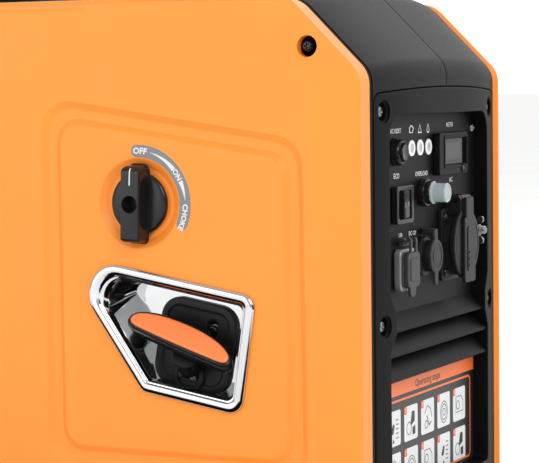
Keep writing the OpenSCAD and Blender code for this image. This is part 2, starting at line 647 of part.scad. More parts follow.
module fuel_cap() color([0.12, 0.12, 0.12]) difference() {
    union() {
        translate([cap_x, 0, cap_z]) cylinder(h = 16, r = 31);
        translate([cap_x, 0, cap_z - 14]) cylinder(h = 14, r = 19.5);
        for (a = [0:30:330]) translate([cap_x, 0, cap_z]) rotate([0, 0, a]) translate([30, 0, 0])
            cylinder(h = 14, r = 2.5);
    }
    translate([cap_x, 0, cap_z + 6]) cylinder(h = 11, r = 3 + run_gap);
}
module vent_lever() color([0.25, 0.25, 0.25]) translate([cap_x, 0, cap_z]) {
    translate([0, 0, 8]) cylinder(h = 8.4, r = 3);
    translate([0, 0, 16.4]) cylinder(h = 5, r = 10);
    block([0, -4, 16.4], [24, 4, 20.4]);
}
module fuel_hose() color([0.1, 0.1, 0.1]) rod([engine_at.x - 137 * engine_scale, 78 * engine_scale,
    engine_at.z + 26 * engine_scale], [engine_at.x - 137 * engine_scale, 78 * engine_scale, 246 * fz], 4);
module inverter_module() color([0.6, 0.6, 0.62]) translate([end_x - 82, 0, tray_floor])
    scale([1, 1, 1] * min(fx, fy)) {
        block([0, -88, 0], [40, 88, 130 * fz]);
        for (i = [0:10]) block([40, -84 + 16 * i, 4], [56, -81 + 16 * i, 126 * fz]);
    }
module oil_dipstick() color([0.9, 0.6, 0.1]) in_engine() {
    rod_y(7, 54, 62.4, 38, -40);
    rod_y(13, 62.4, 74, 38, -40);
    rod_y(2, 20, 54, 38, -40);
}
module service_cover() color("darkorange") difference() {
    along_y(shell_y - 3, door_face) polygon(rounded(inset([door_low, [door_high.x, door_low.y],
        door_high, [door_low.x, door_high.y]], fit_gap), [1, 1, 1, 1] * 13.5));
    rod_y(4 + run_gap, shell_y - 5, shell_y + 2, door_knob.x, door_knob.y);
}
module cover_knob() color([0.12, 0.12, 0.12]) {
    rod_y(14, door_face + 0.3, shell_y + handle_out, door_knob.x, door_knob.y);
    rod_y(4, shell_y - 12, door_face + 0.3, door_knob.x, door_knob.y);
}

base_tray();
rubber_feet();
starter_side_shell();
service_side_shell();
center_cover_left();
center_cover_right();
front_bezel();
rear_cover();
case_screws();
control_panel();
instruction_label();
breaker_rings();
reset_button();
indicator_leds();
meter_housing();
meter_window();
meter_button();
eco_switch_frame();
eco_rocker();
breaker_button();
breaker_boot();
ac_socket();
ac_lid();
dc_socket();
dc_cap();
usb_socket();
usb_cap();
earth_stud();
wing_nut();
choke_knob();
choke_shaft();
dial_decal();
starter_bezel();
guide_plate();
starter_handle();
handle_insert();
starter_rope();
recoil_housing();
recoil_pulley();
recoil_spring();
fan_shroud();
flywheel_fan();
crankshaft();
stator();
crankcase();
engine_cylinder();
muffler();
carburettor();
air_filter_box();
fuel_tank();
fuel_cap();
vent_lever();
inverter_module();
ignition_coil();
spark_plug();
fuel_hose();
oil_dipstick();
service_cover();
cover_knob();
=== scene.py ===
import math

import bmesh
import bpy
from mathutils import Matrix, Vector, geometry


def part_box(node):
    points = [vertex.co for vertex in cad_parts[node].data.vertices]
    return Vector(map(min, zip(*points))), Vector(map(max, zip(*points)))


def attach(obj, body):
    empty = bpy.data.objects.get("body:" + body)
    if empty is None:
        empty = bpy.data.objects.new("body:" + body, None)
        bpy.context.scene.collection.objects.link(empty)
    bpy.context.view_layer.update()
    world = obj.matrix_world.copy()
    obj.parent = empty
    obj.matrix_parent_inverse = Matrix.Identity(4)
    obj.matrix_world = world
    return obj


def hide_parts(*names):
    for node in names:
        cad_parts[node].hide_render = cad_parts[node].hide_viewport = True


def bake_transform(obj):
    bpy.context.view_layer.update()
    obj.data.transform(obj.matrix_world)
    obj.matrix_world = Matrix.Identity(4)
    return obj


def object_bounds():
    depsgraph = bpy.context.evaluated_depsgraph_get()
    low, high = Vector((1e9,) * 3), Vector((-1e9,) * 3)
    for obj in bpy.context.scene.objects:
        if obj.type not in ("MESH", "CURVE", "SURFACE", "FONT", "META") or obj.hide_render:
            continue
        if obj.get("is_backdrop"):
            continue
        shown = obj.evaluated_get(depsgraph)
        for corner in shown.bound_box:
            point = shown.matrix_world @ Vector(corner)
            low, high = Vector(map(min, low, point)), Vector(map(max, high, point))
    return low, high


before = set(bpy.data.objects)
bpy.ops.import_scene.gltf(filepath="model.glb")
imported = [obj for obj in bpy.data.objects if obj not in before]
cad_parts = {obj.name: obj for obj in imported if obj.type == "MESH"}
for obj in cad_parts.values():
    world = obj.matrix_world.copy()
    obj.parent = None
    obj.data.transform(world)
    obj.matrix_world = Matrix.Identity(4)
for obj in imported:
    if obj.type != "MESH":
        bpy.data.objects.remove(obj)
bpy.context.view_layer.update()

# ---------------------------------------------------------------------------------------
# Camera. A long lens stands off the front corner and looks slightly down on the control
# end and the starter side, close enough that the case runs out of the picture.
MM = 0.001
TURN = 0.4526
DOWN = 0.0705
ROLL = -0.0117
LENS_OVER_WIDTH = 3.98887

back = Vector((math.sin(TURN) * math.cos(DOWN), -math.cos(TURN) * math.cos(DOWN), math.sin(DOWN)))
level = Vector((math.cos(TURN), math.sin(TURN), 0))
over = back.cross(level)
aim = Matrix((level * math.cos(ROLL) + over * math.sin(ROLL),
              over * math.cos(ROLL) - level * math.sin(ROLL), back)).transposed()
lens = bpy.data.cameras.new("camera")
lens.sensor_width = 36
lens.lens = 36 * LENS_OVER_WIDTH
lens.clip_end = 100
camera = bpy.data.objects.new("camera", lens)
camera.matrix_world = Matrix.Translation((0.7836, -1.3638, 0.3203)) @ aim.to_4x4()
bpy.context.scene.collection.objects.link(camera)
bpy.context.scene.camera = camera


# ---------------------------------------------------------------------------------------
# Studio. A wide matt white floor under a white tent, with a broad soft light high on the
# right, a weaker one at the left, and black cards that only reflections can see: they
# draw the dark bands in the chrome.
def linear(code):
    """sRGB hex colour turned to linear red, green, blue and alpha."""
    parts = [int(code[i:i + 2], 16) / 255 for i in (0, 2, 4)]
    return tuple(c / 12.92 if c <= 0.04045 else ((c + 0.055) / 1.055) ** 2.4 for c in parts) + (1,)


def add(tree, kind, settings=None, links=None):
    """One shader node with its settings and the sockets that feed it."""
    made = tree.nodes.new("ShaderNode" + kind)
    for key, value in (settings or {}).items():
        if isinstance(key, int) or key in made.inputs:
            made.inputs[key].default_value = value
        else:
            setattr(made, key, value)
    for key, socket in (links or {}).items():
        tree.links.new(socket, made.inputs[key])
    return made


def surface(name, settings):
    """An empty material with its principled shader; returns the material, tree and shader."""
    made = bpy.data.materials.new(name)
    made.use_nodes = True
    tree = made.node_tree
    tree.nodes.clear()
    shader = add(tree, "BsdfPrincipled", settings)
    add(tree, "OutputMaterial", links={"Surface": shader.outputs[0]})
    return made, tree, shader


def soft_light(name, place, target, size, power):
    lamp = bpy.data.lights.new(name, "AREA")
    lamp.shape = "RECTANGLE"
    lamp.size, lamp.size_y = size
    lamp.energy = power
    made = bpy.data.objects.new(name, lamp)
    made.location = place
    made.rotation_euler = (Vector(target) - Vector(place)).to_track_quat("-Z", "Y").to_euler()
    made.visible_camera = False
    bpy.context.scene.collection.objects.link(made)


def card(name, corners, code):
    """A flat card that lights and reflections see but the camera doesn't."""
    mesh = bpy.data.meshes.new(name)
    mesh.from_pydata(corners, [], [range(len(corners))])
    made = bpy.data.objects.new(name, mesh)
    paint, tree, shader = surface(name + "_cloth", {"Roughness": 1.0, "Specular IOR Level": 0.0})
    shader.inputs["Base Color"].default_value = linear(code)
    mesh.materials.append(paint)
    made.visible_camera = False
    made.visible_diffuse = False
    made.visible_shadow = False
    bpy.context.scene.collection.objects.link(made)
    made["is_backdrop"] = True


world = bpy.data.worlds.new("white_tent")
world.use_nodes = True
sky = world.node_tree
toward = add(sky, "SeparateXYZ", links={"Vector": add(sky, "TexCoord").outputs["Generated"]})
glow = add(sky, "MapRange", {"From Min": -0.2, "From Max": 0.5, "To Min": 0.6, "To Max": 1.5},
           {"Value": toward.outputs["Y"]})
sky.links.new(glow.outputs[0], sky.nodes["Background"].inputs["Strength"])
sky.nodes["Background"].inputs["Color"].default_value = (1, 1, 1, 1)
bpy.context.scene.world = world
bpy.context.scene.view_settings.view_transform = "Standard"

floor_mesh = bpy.data.meshes.new("floor")
floor_mesh.from_pydata([(40 * math.cos(a * math.pi / 32), 40 * math.sin(a * math.pi / 32), 0)
                        for a in range(64)], [], [range(64)])
floor = bpy.data.objects.new("floor", floor_mesh)
floor_paint, floor_tree, floor_shader = surface("white_studio_floor", {"Roughness": 0.9})
dust = add(floor_tree, "TexNoise", {"Scale": 3.0, "Detail": 3.0},
           {"Vector": add(floor_tree, "TexCoord").outputs["Object"]})
shade = add(floor_tree, "ValToRGB", links={"Fac": dust.outputs["Fac"]})
shade.color_ramp.elements[0].color = linear("f4f4f2")
shade.color_ramp.elements[1].color = linear("fbfbfa")
floor_tree.links.new(shade.outputs[0], floor_shader.inputs["Base Color"])
floor_mesh.materials.append(floor_paint)
bpy.context.scene.collection.objects.link(floor)
floor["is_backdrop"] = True

soft_light("key_light", (2.4, -2.6, 2.2), (0.1, 0, 0.2), (1.6, 1.6), 62)
soft_light("fill_light", (-1.5, -2.9, 0.95), (0, 0, 0.2), (2.4, 1.8), 25)
soft_light("back_light", (0.6, 2.8, 2.4), (0, 0, 0.25), (1.8, 1.4), 12)
card("dark_card_low", [(-0.5, -0.6, 0.004), (0.6, -0.6, 0.004), (0.6, -0.17, 0.004), (-0.5, -0.17, 0.004)],
     "101010")
card("dark_card_right", [(1.1, -1.2, 0.0), (1.2, 0.1, 0.0), (1.2, 0.1, 0.55), (1.1, -1.2, 0.55)], "141414")


# ---------------------------------------------------------------------------------------
# Side shells. Two deep ABS mouldings close the case: each has a rim that wraps over the
# centre cover, a soft bevel running into a flat side, and a boss under a sunk screw.
# The starter side carries a raised panel framed by a groove; the other has a door.
def box_of(node):
    """Lowest and highest corner of a CAD node at rest, in millimetres."""
    low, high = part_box(node)
    return low / MM, high / MM


shell_low, shell_high = box_of("starter_side_shell")
SIDE_Y = -shell_low.y
TRAY_TOP = shell_low.z
ROOF_Z = shell_high.z
END_X = shell_high.x
SEAM_Y = 113.0
RIM_Y = 137.0
WALL = 3.0
CHAMFER_SUM = 574.0
START_X = END_X - 132
START_Z = 150.0
KNOB = Vector((START_X - 22.5, -SIDE_Y, START_Z + 90.8))
SCREW_X = 214.8
SCREW_Z = 341.0
ORANGE = "fb9237"


def corner(before, at, after, radius, steps):
    """Arc of steps + 1 points that rounds one corner of an outline."""
    u = (before - at).normalized()
    v = (after - at).normalized()
    if radius <= 0:
        return [at.copy() for _ in range(steps + 1)]
    half = math.acos(max(-1, min(1, u.dot(v)))) / 2
    middle = at + (u + v).normalized() * radius / math.sin(half)
    first = at + u * radius / math.tan(half) - middle
    last = at + v * radius / math.tan(half) - middle
    start = math.atan2(first.y, first.x)
    sweep = (math.atan2(last.y, last.x) - start + 3 * math.pi) % (2 * math.pi) - math.pi
    return [middle + radius * Vector((math.cos(start + sweep * i / steps),
                                      math.sin(start + sweep * i / steps))) for i in range(steps + 1)]


def rounded(points, radii, steps=6):
    """Outline through the corners with each one rounded to its own radius."""
    points = [Vector(p) for p in points]
    if not isinstance(radii, (list, tuple)):
        radii = [radii] * len(points)
    out = []
    for i, at in enumerate(points):
        out += corner(points[i - 1], at, points[(i + 1) % len(points)], radii[i], steps)
    return out


def inset(points, depth):
    """Corners of an anticlockwise outline moved inwards by depth."""
    points = [Vector(p) for p in points]
    out = []
    for i, at in enumerate(points):
        u = (at - points[i - 1]).normalized()
        v = (points[(i + 1) % len(points)] - at).normalized()
        a, b = Vector((-u.y, u.x)), Vector((-v.y, v.x))
        out.append(at + (a + b) * depth / (1 + a.dot(b)))
    return out


def oblong(width, height):
    return [(-width / 2, -height / 2), (width / 2, -height / 2), (width / 2, height / 2),
            (-width / 2, height / 2)]


def circle(radius, count=32, start=0.0):
    return [Vector((radius * math.cos(start + 2 * math.pi * i / count),
                    radius * math.sin(start + 2 * math.pi * i / count))) for i in range(count)]


def ring(bm, points):
    return [bm.verts.new(Vector(p) * MM) for p in points]


def bridge(bm, a, b, slot=0):
    """Quads between two rings of the same length."""
    for i in range(len(a)):
        corners = [a[i - 1], a[i], b[i], b[i - 1]]
        if len({tuple(round(c, 7) for c in v.co) for v in corners}) > 2:
            bm.faces.new(corners).material_index = slot


def stack(bm, rings, slot=0):
    """Bridges each ring to the next and gives back the vertex rings."""
    made = [ring(bm, r) for r in rings]
    for a, b in zip(made, made[1:]):
        bridge(bm, a, b, slot)
    return made


def fill(bm, outline, holes=(), flat=lambda co: (co.x, co.z), slot=0):
    """Fills a ring that may have holes; flat(co) gives the plane coordinates to cut it in."""
    rings = [list(outline)] + [list(h) for h in holes]
    every = [v for r in rings for v in r]
    spots = [[Vector((*flat(v.co), 0)) for v in r] for r in rings]
    for tri in geometry.tessellate_polygon(spots):
        face = [every[i] for i in tri]
        if (face[1].co - face[0].co).cross(face[2].co - face[0].co).length > 1e-12 and not bm.faces.get(face):
            bm.faces.new(face).material_index = slot


def finish_piece(name, bm, materials, body="case", replaces=(), angle=35, weld=True, outward=True):
    """Turns a bmesh into a named, smooth-shaded piece that rides on its CAD body."""
    if weld:
        bmesh.ops.remove_doubles(bm, verts=bm.verts, dist=1e-6)
    bmesh.ops.dissolve_degenerate(bm, edges=bm.edges, dist=1e-7)
    if outward:
        bmesh.ops.recalc_face_normals(bm, faces=bm.faces)
    mesh = bpy.data.meshes.new(name)
    bm.to_mesh(mesh)
    bm.free()
    for material in materials:
        mesh.materials.append(material)
    mesh.polygons.foreach_set("use_smooth", [True] * len(mesh.polygons))
    mesh.set_sharp_from_angle(angle=math.radians(angle))
    made = bpy.data.objects.new(name, mesh)
    bpy.context.scene.collection.objects.link(made)
    even = made.modifiers.new("even_shading", "WEIGHTED_NORMAL")
    even.keep_sharp = True
    if body:
        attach(made, body)
    if replaces:
        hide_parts(*replaces)
    return made


def cut_away(piece, cutters):
    """Cuts the tools out of a piece for good and throws the tools away."""
    for tool in cutters:
        step = piece.modifiers.new("cut", "BOOLEAN")
        step.operation = "DIFFERENCE"
        step.solver = "MANIFOLD"
        step.object = tool
    order = [m for m in piece.modifiers if m.type == "WEIGHTED_NORMAL"]
    for m in order:
        piece.modifiers.remove(m)
    view = bpy.context.evaluated_depsgraph_get()
    mesh = bpy.data.meshes.new_from_object(piece.evaluated_get(view))
    mesh.name = piece.name
    for m in list(piece.modifiers):
        piece.modifiers.remove(m)
    piece.data = mesh
    mesh.polygons.foreach_set("use_smooth", [True] * len(mesh.polygons))
    mesh.set_sharp_from_angle(angle=math.radians(30))
    even = piece.modifiers.new("even_shading", "WEIGHTED_NORMAL")
    even.keep_sharp = True
    for tool in cutters:
        bpy.data.objects.remove(tool)


def turned(profile, axis, centre, count=40):
    """Rings of a lathe profile of (radius, travel) pairs about an axis through centre."""
    axis = Vector(axis).normalized()
    side = axis.orthogonal().normalized()
    other = axis.cross(side)
    return [[Vector(centre) + axis * h + r * (side * math.cos(2 * math.pi * i / count)
             + other * math.sin(2 * math.pi * i / count)) for i in range(count)] for r, h in profile]


def lathe(bm, profile, axis, centre, count=40, slot=0):
    """A turned solid; a zero radius at either end of the profile closes it."""
    rings = turned([(max(r, 0.0), h) for r, h in profile], axis, centre, count)
    made = []
    for (r, h), points in zip(profile, rings):
        made.append([bm.verts.new(Vector(points[0]) * MM)] * count if r <= 0 else ring(bm, points))
    for a, b in zip(made, made[1:]):
        for i in range(count):
            face = []
            for v in (a[i - 1], a[i], b[i], b[i - 1]):
                if v not in face:
                    face.append(v)
            if len(face) > 2:
                bm.faces.new(face).material_index = slot
    return made


def tool(name, profile, axis, centre, count=40):
    """A turned cutter for cut_away."""
    bm = bmesh.new()
    lathe(bm, profile, axis, centre, count)
    bmesh.ops.recalc_face_normals(bm, faces=bm.faces)
    mesh = bpy.data.meshes.new(name)
    bm.to_mesh(mesh)
    bm.free()
    made = bpy.data.objects.new(name, mesh)
    bpy.context.scene.collection.objects.link(made)
    return made


def moulded(name, code, grain=0.35, bump=0.05, rough=0.42, drift=0.05, settings=None):
    """Moulded plastic: spark-eroded grain of a real size, slow colour drift and a polish that varies."""
    made, tree, shader = surface(name, {"Roughness": rough, "IOR": 1.5, **(settings or {})})
    at = add(tree, "TexCoord").outputs["Object"]
    slow = add(tree, "TexNoise", {"Scale": 1 / 0.09, "Detail": 2.0}, {"Vector": at})
    fine = add(tree, "TexNoise", {"Scale": 1 / (grain * MM) / 2, "Detail": 2.0, "Roughness": 0.6},
               {"Vector": at})
    base = linear(code)
    tint = add(tree, "ValToRGB", links={"Fac": slow.outputs["Fac"]})
    tint.color_ramp.elements[0].position = 0.3
    tint.color_ramp.elements[1].position = 0.7
    tint.color_ramp.elements[0].color = tuple(c * (1 - drift) for c in base[:3]) + (1,)
    tint.color_ramp.elements[1].color = tuple(min(1, c * (1 + drift)) for c in base[:3]) + (1,)
    polish = add(tree, "MapRange", {"To Min": rough - 0.05, "To Max": rough + 0.07},
                 {"Value": fine.outputs["Fac"]})
    press = add(tree, "Bump", {"Strength": 1.0, "Distance": bump * MM}, {"Height": fine.outputs["Fac"]})
    tree.links.new(tint.outputs[0], shader.inputs["Base Color"])
    tree.links.new(polish.outputs[0], shader.inputs["Roughness"])
    tree.links.new(press.outputs[0], shader.inputs["Normal"])
    return made


# Injection-moulded ABS in safety orange from a finely etched tool: a satin skin with a
# broad soft highlight and no visible speckle.
orange_abs = moulded("orange_abs_fine_etched", ORANGE, grain=0.6, bump=0.012, rough=0.42, drift=0.02,
                    settings={"Specular IOR Level": 0.3})


def side_corners(x, z, total):
    """Side outline of the case, anticlockwise seen from -Y, in x and z."""
    return [(-x, TRAY_TOP), (x, TRAY_TOP), (x, total - x), (total - z, z), (z - total, z), (-x, total - x)]


def shell_rings(sign, rim_y, edge, corner_steps=8):
    """Rings of the outer skin from the seam with the cover, over the rim, to the flat side."""
    bends = [3, 3, 18, 22, 22, 18]
    rings = []
    for x, z, total, y in ((END_X - 3.5, ROOF_Z - 2.2, CHAMFER_SUM - 3.4, SEAM_Y),
                           (END_X - 3.0, ROOF_Z - 1.8, CHAMFER_SUM - 3.0, SEAM_Y + 0.6)):
        rings.append((rounded(side_corners(x, z, total), bends, corner_steps), y))
    straight = (END_X, ROOF_Z, CHAMFER_SUM)
    for t, y in ((0.25, rim_y - 3.2), (0.0, rim_y - 2.2), (0.15, rim_y - 1.3), (0.6, rim_y - 0.55),
                 (1.3, rim_y - 0.1), (2.2, rim_y + 0.15)):
        x, z, total = straight[0] - t, straight[1] - t, straight[2] - 1.414 * t
        rings.append((rounded(side_corners(x, z, total), bends, corner_steps), y))
    flat = [(-221, TRAY_TOP), (221, TRAY_TOP), (221, 322.5), (62, 365.6), (-62, 365.6), (-221, 322.5)]
    bends = [3, 3, 30, 40, 40, 30]
    rise = edge - 0.35
    for t, y in ((-3.0, rise - 0.35), (-1.2, edge - 0.32), (0.4, edge - 0.1), (2.2, edge)):
        points = inset(flat, t)
        points[0].y = points[1].y = TRAY_TOP
        rings.append((rounded(points, bends, corner_steps), y))
    return [[Vector((p.x, sign * y, p.y)) for p in points] for points, y in rings]


def inner_rings(sign, edge, corner_steps=8):
    """Inside skin of a shell: the outline one wall in."""
    points = rounded(side_corners(END_X - 5.6, ROOF_Z - 4.4, CHAMFER_SUM - 6.6), [3, 3, 16, 20, 20, 16],
                     corner_steps)
    low = [Vector((p.x, sign * SEAM_Y, p.y)) for p in points]
    deep = [Vector((p.x, sign * (edge - WALL - 9), p.y)) for p in points]
    flat = [(-217, TRAY_TOP), (217, TRAY_TOP), (217, 320), (60, 362), (-60, 362), (-217, 320)]
    last = [Vector((p.x, sign * (edge - WALL - 3.5), p.y))
            for p in rounded(flat, [3, 3, 28, 38, 38, 28], corner_steps)]
    return [low, deep, last]


panel_corners = [(-95, -86), (97.5, -86), (95.3, 132.7), (-96.2, 161.1)]
pick_corners = [(-21.1, -32.7), (51.1, -44.9), (62.7, 32.9), (-84.6, 58.4)]
PICK_RADII = (8, 10, 10, 20)


def on_starter_side(points, y, radii=None, steps=6):
    """Points in the starter panel's own x and z, placed on the shell y millimetres into the case."""
    return [Vector((START_X + p.x, -SIDE_Y + y, START_Z + p.y)) for p in
            (rounded(points, radii, steps) if radii is not None else points)]


def pick(t, y, steps=8):
    radii = [max(r - min(t, 5), 2) for r in PICK_RADII]
    return on_starter_side(inset(pick_corners, t), y, radii, steps)


bm = bmesh.new()
skin = stack(bm, shell_rings(-1, RIM_Y, SIDE_Y))
inside = stack(bm, inner_rings(-1, SIDE_Y))
bridge(bm, inside[0], skin[0])
groove = [(-0.9, 0), (-0.2, 0.06), (0.5, 0.3), (3.7, 2.45), (4.5, 2.85), (5.4, 3.0), (10.2, 3.0), (10.8, 2.9),
          (11.3, 2.6), (14.0, 0.45), (14.7, 0.12), (15.6, 0)]
frame_rings = stack(bm, [on_starter_side(inset(panel_corners, t), y, [20 - t * 0.4] * 4, 10)
                         for t, y in groove])
fill(bm, skin[-1], [frame_rings[0]])
dish = [(30.4, 0), (29.6, 0.12), (28.9, 0.6), (24.8, 3.7), (24.0, 4.2), (22.8, 4.4), (0, 4.4)]
dish_rings = lathe(bm, dish, (0, 1, 0), (KNOB.x, -SIDE_Y, KNOB.z), 64)
opening = stack(bm, [pick(t, y) for t, y in ((3.2, 0), (3.8, 0.3), (4.2, 1.0), (4.2, WALL + 3.5))])
fill(bm, frame_rings[-1], [dish_rings[0], opening[0]])
fill(bm, inside[-1], [opening[-1]])
starter_shell = finish_piece("starter_side_shell_moulding", bm, [orange_abs], replaces=["starter_side_shell"])
SCREW_DISH = [(0, -4), (10.9, -4), (10.9, 0.4), (10.4, 0.9), (7.5, 4.6), (6.9, 5.3), (6.7, 15), (0, 15)]
cut_away(starter_shell, [tool("cut", SCREW_DISH, (0, 1, 0), (m * SCREW_X, -SIDE_Y - 0.2, SCREW_Z))
                         for m in (-1, 1)])


# The service side is the same moulding mirrored, with a softer rim and a door opening.
door_low, door_high = box_of("service_cover")
DOOR_GAP = 0.4
door_corners = [(door_low.x - DOOR_GAP, door_low.z - DOOR_GAP),
                (door_high.x + DOOR_GAP, door_low.z - DOOR_GAP),
                (door_high.x + DOOR_GAP, door_high.z + DOOR_GAP),
                (door_low.x - DOOR_GAP, door_high.z + DOOR_GAP)]


def on_service_side(points, y):
    return [Vector((p.x, SIDE_Y + y, p.y)) for p in points]


bm = bmesh.new()
skin = stack(bm, shell_rings(1, 118.0, SIDE_Y))
inside = stack(bm, inner_rings(1, SIDE_Y))
bridge(bm, inside[0], skin[0])
door_hole = stack(bm, [on_service_side(rounded(inset(door_corners, t), 14 - max(t, -1), 8), y)
                       for t, y in ((-2.4, 0), (-1.4, -0.15), (-0.5, -0.7), (0, -1.6), (0, -WALL - 3.5))])
fill(bm, skin[-1], [door_hole[0]])
fill(bm, inside[-1], [door_hole[-1]])
service_shell = finish_piece("service_side_shell_moulding", bm, [orange_abs], replaces=["service_side_shell"])
cut_away(service_shell, [tool("cut", SCREW_DISH, (0, -1, 0), (m * SCREW_X, SIDE_Y + 0.2, SCREW_Z))
                         for m in (-1, 1)])


# ---------------------------------------------------------------------------------------
# Service door. A flat ABS door with a stiffening frame pressed into it fits the opening in
# the far shell; a black quarter-turn knob with a finger bar holds it shut.
def plate(bm, corners, radii, place, low, high, edge=0.5, steps=6, slot=0):
    """Closed plate with softened edges; place(u, v, h) puts plan and height into the part."""
    radii = radii if isinstance(radii, (list, tuple)) else [radii] * len(corners)
    k = 0.29 * edge
    profile = [(edge, low), (k, low + k), (0, low + edge), (0, high - edge), (k, high - k), (edge, high)]
    rings = [[place(p.x, p.y, h) for p in rounded(inset(corners, t), [max(r - t, 0.02) for r in radii],
                                                  steps)]
             for t, h in profile]
    made = stack(bm, rings, slot)
    for end in (made[0], made[-1]):
        bm.faces.new(end).material_index = slot
    return made


bm = bmesh.new()
leaf = inset(door_corners, DOOR_GAP)
profile = [(2.0, -WALL), (0, -WALL + 1), (0, -0.4), (0.25, 0.3), (1.0, 0.8), (14, 0.8), (14.8, 0.6),
           (16.6, -1.0),
           (17.6, -1.2), (22, -1.2), (23, -1.0), (24.6, 0.4), (25.6, 0.6)]
rings = stack(bm, [on_service_side(rounded(inset(leaf, t), max(13.5 - 0.45 * t, 3), 8), y)
                   for t, y in profile])
bm.faces.new(rings[0])
bm.faces.new(rings[-1])
finish_piece("service_door", bm, [orange_abs], "service_cover", ["service_cover"])

# Spark-eroded nylon: an even dull grain that scatters the light off knobs and outlets.
black_nylon = moulded("black_nylon_sparked", "161617", grain=0.5, bump=0.03, rough=0.42, drift=0.06,
                      settings={"Specular IOR Level": 0.25})
knob_low, knob_high = box_of("cover_knob")
knob_x, knob_z = (knob_low.x + knob_high.x) / 2, (knob_low.z + knob_high.z) / 2
knob_r = (knob_high.x - knob_low.x) / 2
bm = bmesh.new()
lathe(bm, [(0, -12), (4, -12), (4, 1.1), (knob_r - 0.8, 1.1), (knob_r, 1.9), (knob_r, 4.4),
           (knob_r - 0.8, 5.4),
           (knob_r - 4, 6.2), (0, 6.4)], (0, 1, 0), (knob_x, SIDE_Y, knob_z), 48)
bar_top = knob_high.y - SIDE_Y
plate(bm, oblong(2 * knob_r - 3, 7), 2.4, lambda u, v, h: Vector((knob_x + u, SIDE_Y + h, knob_z + v)), 4,
      bar_top, 1.0)
finish_piece("service_door_knob", bm, [black_nylon], "cover_knob", ["cover_knob"])

# ---------------------------------------------------------------------------------------
# Centre covers. Two dark grey ABS halves meet on a seam along the middle of the roof and
# carry half of the handle each. They are crowned towards the seam, turn the shoulders on
# a soft bend, and reach down both ends as a narrow strip beside the bezel.
# Spark-eroded ABS: a dry charcoal that lightens a little where the surface turns away.
graphite_abs = moulded("graphite_abs_sparked", "19191a", grain=0.8, bump=0.05, rough=0.5, drift=0.04,
                       settings={"Specular IOR Level": 0.1})
CROWN = 7.6
ARCH_TOP = 314.8
BEZEL_HALF = 109.6


def crown(y):
    """How far the ends and roof stand proud of the seam with the side shells."""
    return CROWN * (1 - min(1, abs(y / SEAM_Y)) ** 3)


def arch(y):
    """Lower edge of the cover over the bezel: a flat arch that turns down at the corners."""
    top = ARCH_TOP - 3.5 * (min(abs(y), 102) / 104) ** 2
    over = max(0, abs(y) - 102)
    return top - (8 - math.sqrt(max(0, 64 - over * over)))


def cover_ring(y, sink=0.0):
    c = crown(y) - sink
    x, z, total = END_X - 3 + c, ROOF_Z - 2 + 0.9 * c, CHAMFER_SUM - 3 + 1.65 * c
    low = arch(y)
    outer = [(x, low), (x, total - x), (total - z, z), (z - total, z), (-x, total - x), (-x, low)]
    x, z, total = x - 3.5, z - 3.5, total - 5
    inner = [(-x, low), (-x, total - x), (z - total, z), (total - z, z), (x, total - x), (x, low)]
    return rounded(outer + inner, [0.8, 18, 20, 20, 18, 0.8, 0.4, 15, 17, 17, 15, 0.4], 7)


def strip_ring(t, sink):
    points = side_corners(END_X - 3 - sink - t, ROOF_Z - 2 - sink - t, CHAMFER_SUM - 3 - 1.414 * (t + sink))
    points[0] = (points[0][0], TRAY_TOP + t)
    points[1] = (points[1][0], TRAY_TOP + t)
    return rounded(points, [1, 1, 18, 20, 20, 18], 7)


HANDLE_TOP = box_of("center_cover_right")[1].z
GRIP_HALF = 17.0
grip = [(-125, ROOF_Z - 4), (125, ROOF_Z - 4), (106, HANDLE_TOP), (-106, HANDLE_TOP)]
gap = [(-94, ROOF_Z + 8), (94, ROOF_Z + 8), (84, HANDLE_TOP - 24), (-84, HANDLE_TOP - 24)]
stations = [(0.15, 0.9), (0.35, 0.3), (0.9, 0)] + [(y, 0)
                                                   for y in (6, 14, 24, 36, 48, 60, 72, 84, 94, 100, 104, 107,
                                                                  109, 109.8)]
for sign, name in ((1, "center_cover_right"), (-1, "center_cover_left")):
    bm = bmesh.new()
    rings = stack(bm, [[Vector((p.x, sign * y, p.y)) for p in cover_ring(y, sink)] for y, sink in stations])
    fill(bm, rings[0])
    fill(bm, rings[-1])
    sides = [(0, 0, 109.8), (0, 0, 112.3), (0, 0.4, 112.8), (0, 1.2, 114.6), (4, 1.2, 114.6), (4, 0, 109.8)]
    hoop = stack(bm, [[Vector((p.x, sign * y, p.y)) for p in strip_ring(t, sink)] for t, sink, y in sides])
    bridge(bm, hoop[-1], hoop[0])
    soft = [(0.5, 0.15), (0.1, 0.4), (0, 0.9), (0, 10), (0.35, 12.4), (1.3, 14.6), (2.8, 16.2),
            (4.6, GRIP_HALF)]
    outside = stack(bm, [[Vector((p.x, sign * y, p.y))
                          for p in rounded(inset(grip, t), [3, 3, 24 - t, 24 - t], 10)]
                         for t, y in soft])
    hole = stack(bm, [[Vector((p.x, sign * y, p.y))
                       for p in rounded(inset(gap, -t), [6, 6, 12 + t, 12 + t], 10)]
                      for t, y in soft])
    fill(bm, outside[0], [hole[0]])
    fill(bm, outside[-1], [hole[-1]])
    finish_piece(name + "_moulding", bm, [graphite_abs], replaces=[name], weld=False)

# ---------------------------------------------------------------------------------------
# End bezels. Black ABS frames close both ends inside the cover strips. The front one holds
# the recessed control panel, three louvre blades and the instruction label; the rear one
# is slotted for cooling air and has a ring for the exhaust outlet.
# Spark-eroded ABS: near black and matt, so the edges only just show against the openings.
bezel_abs = moulded("black_abs_sparked", "0b0b0c", grain=0.7, bump=0.05, rough=0.48, drift=0.05,
                    settings={"Specular IOR Level": 0.08})
panel_high = box_of("control_panel")[1]
PANEL_X = panel_high.x
PANEL_Z = 236.5
SCREW_SPOTS = [(s * (SEAM_Y - 16), z) for s in (-1, 1) for z in (161, 299)]


def end_x(y):
    return END_X - 3 + crown(y)


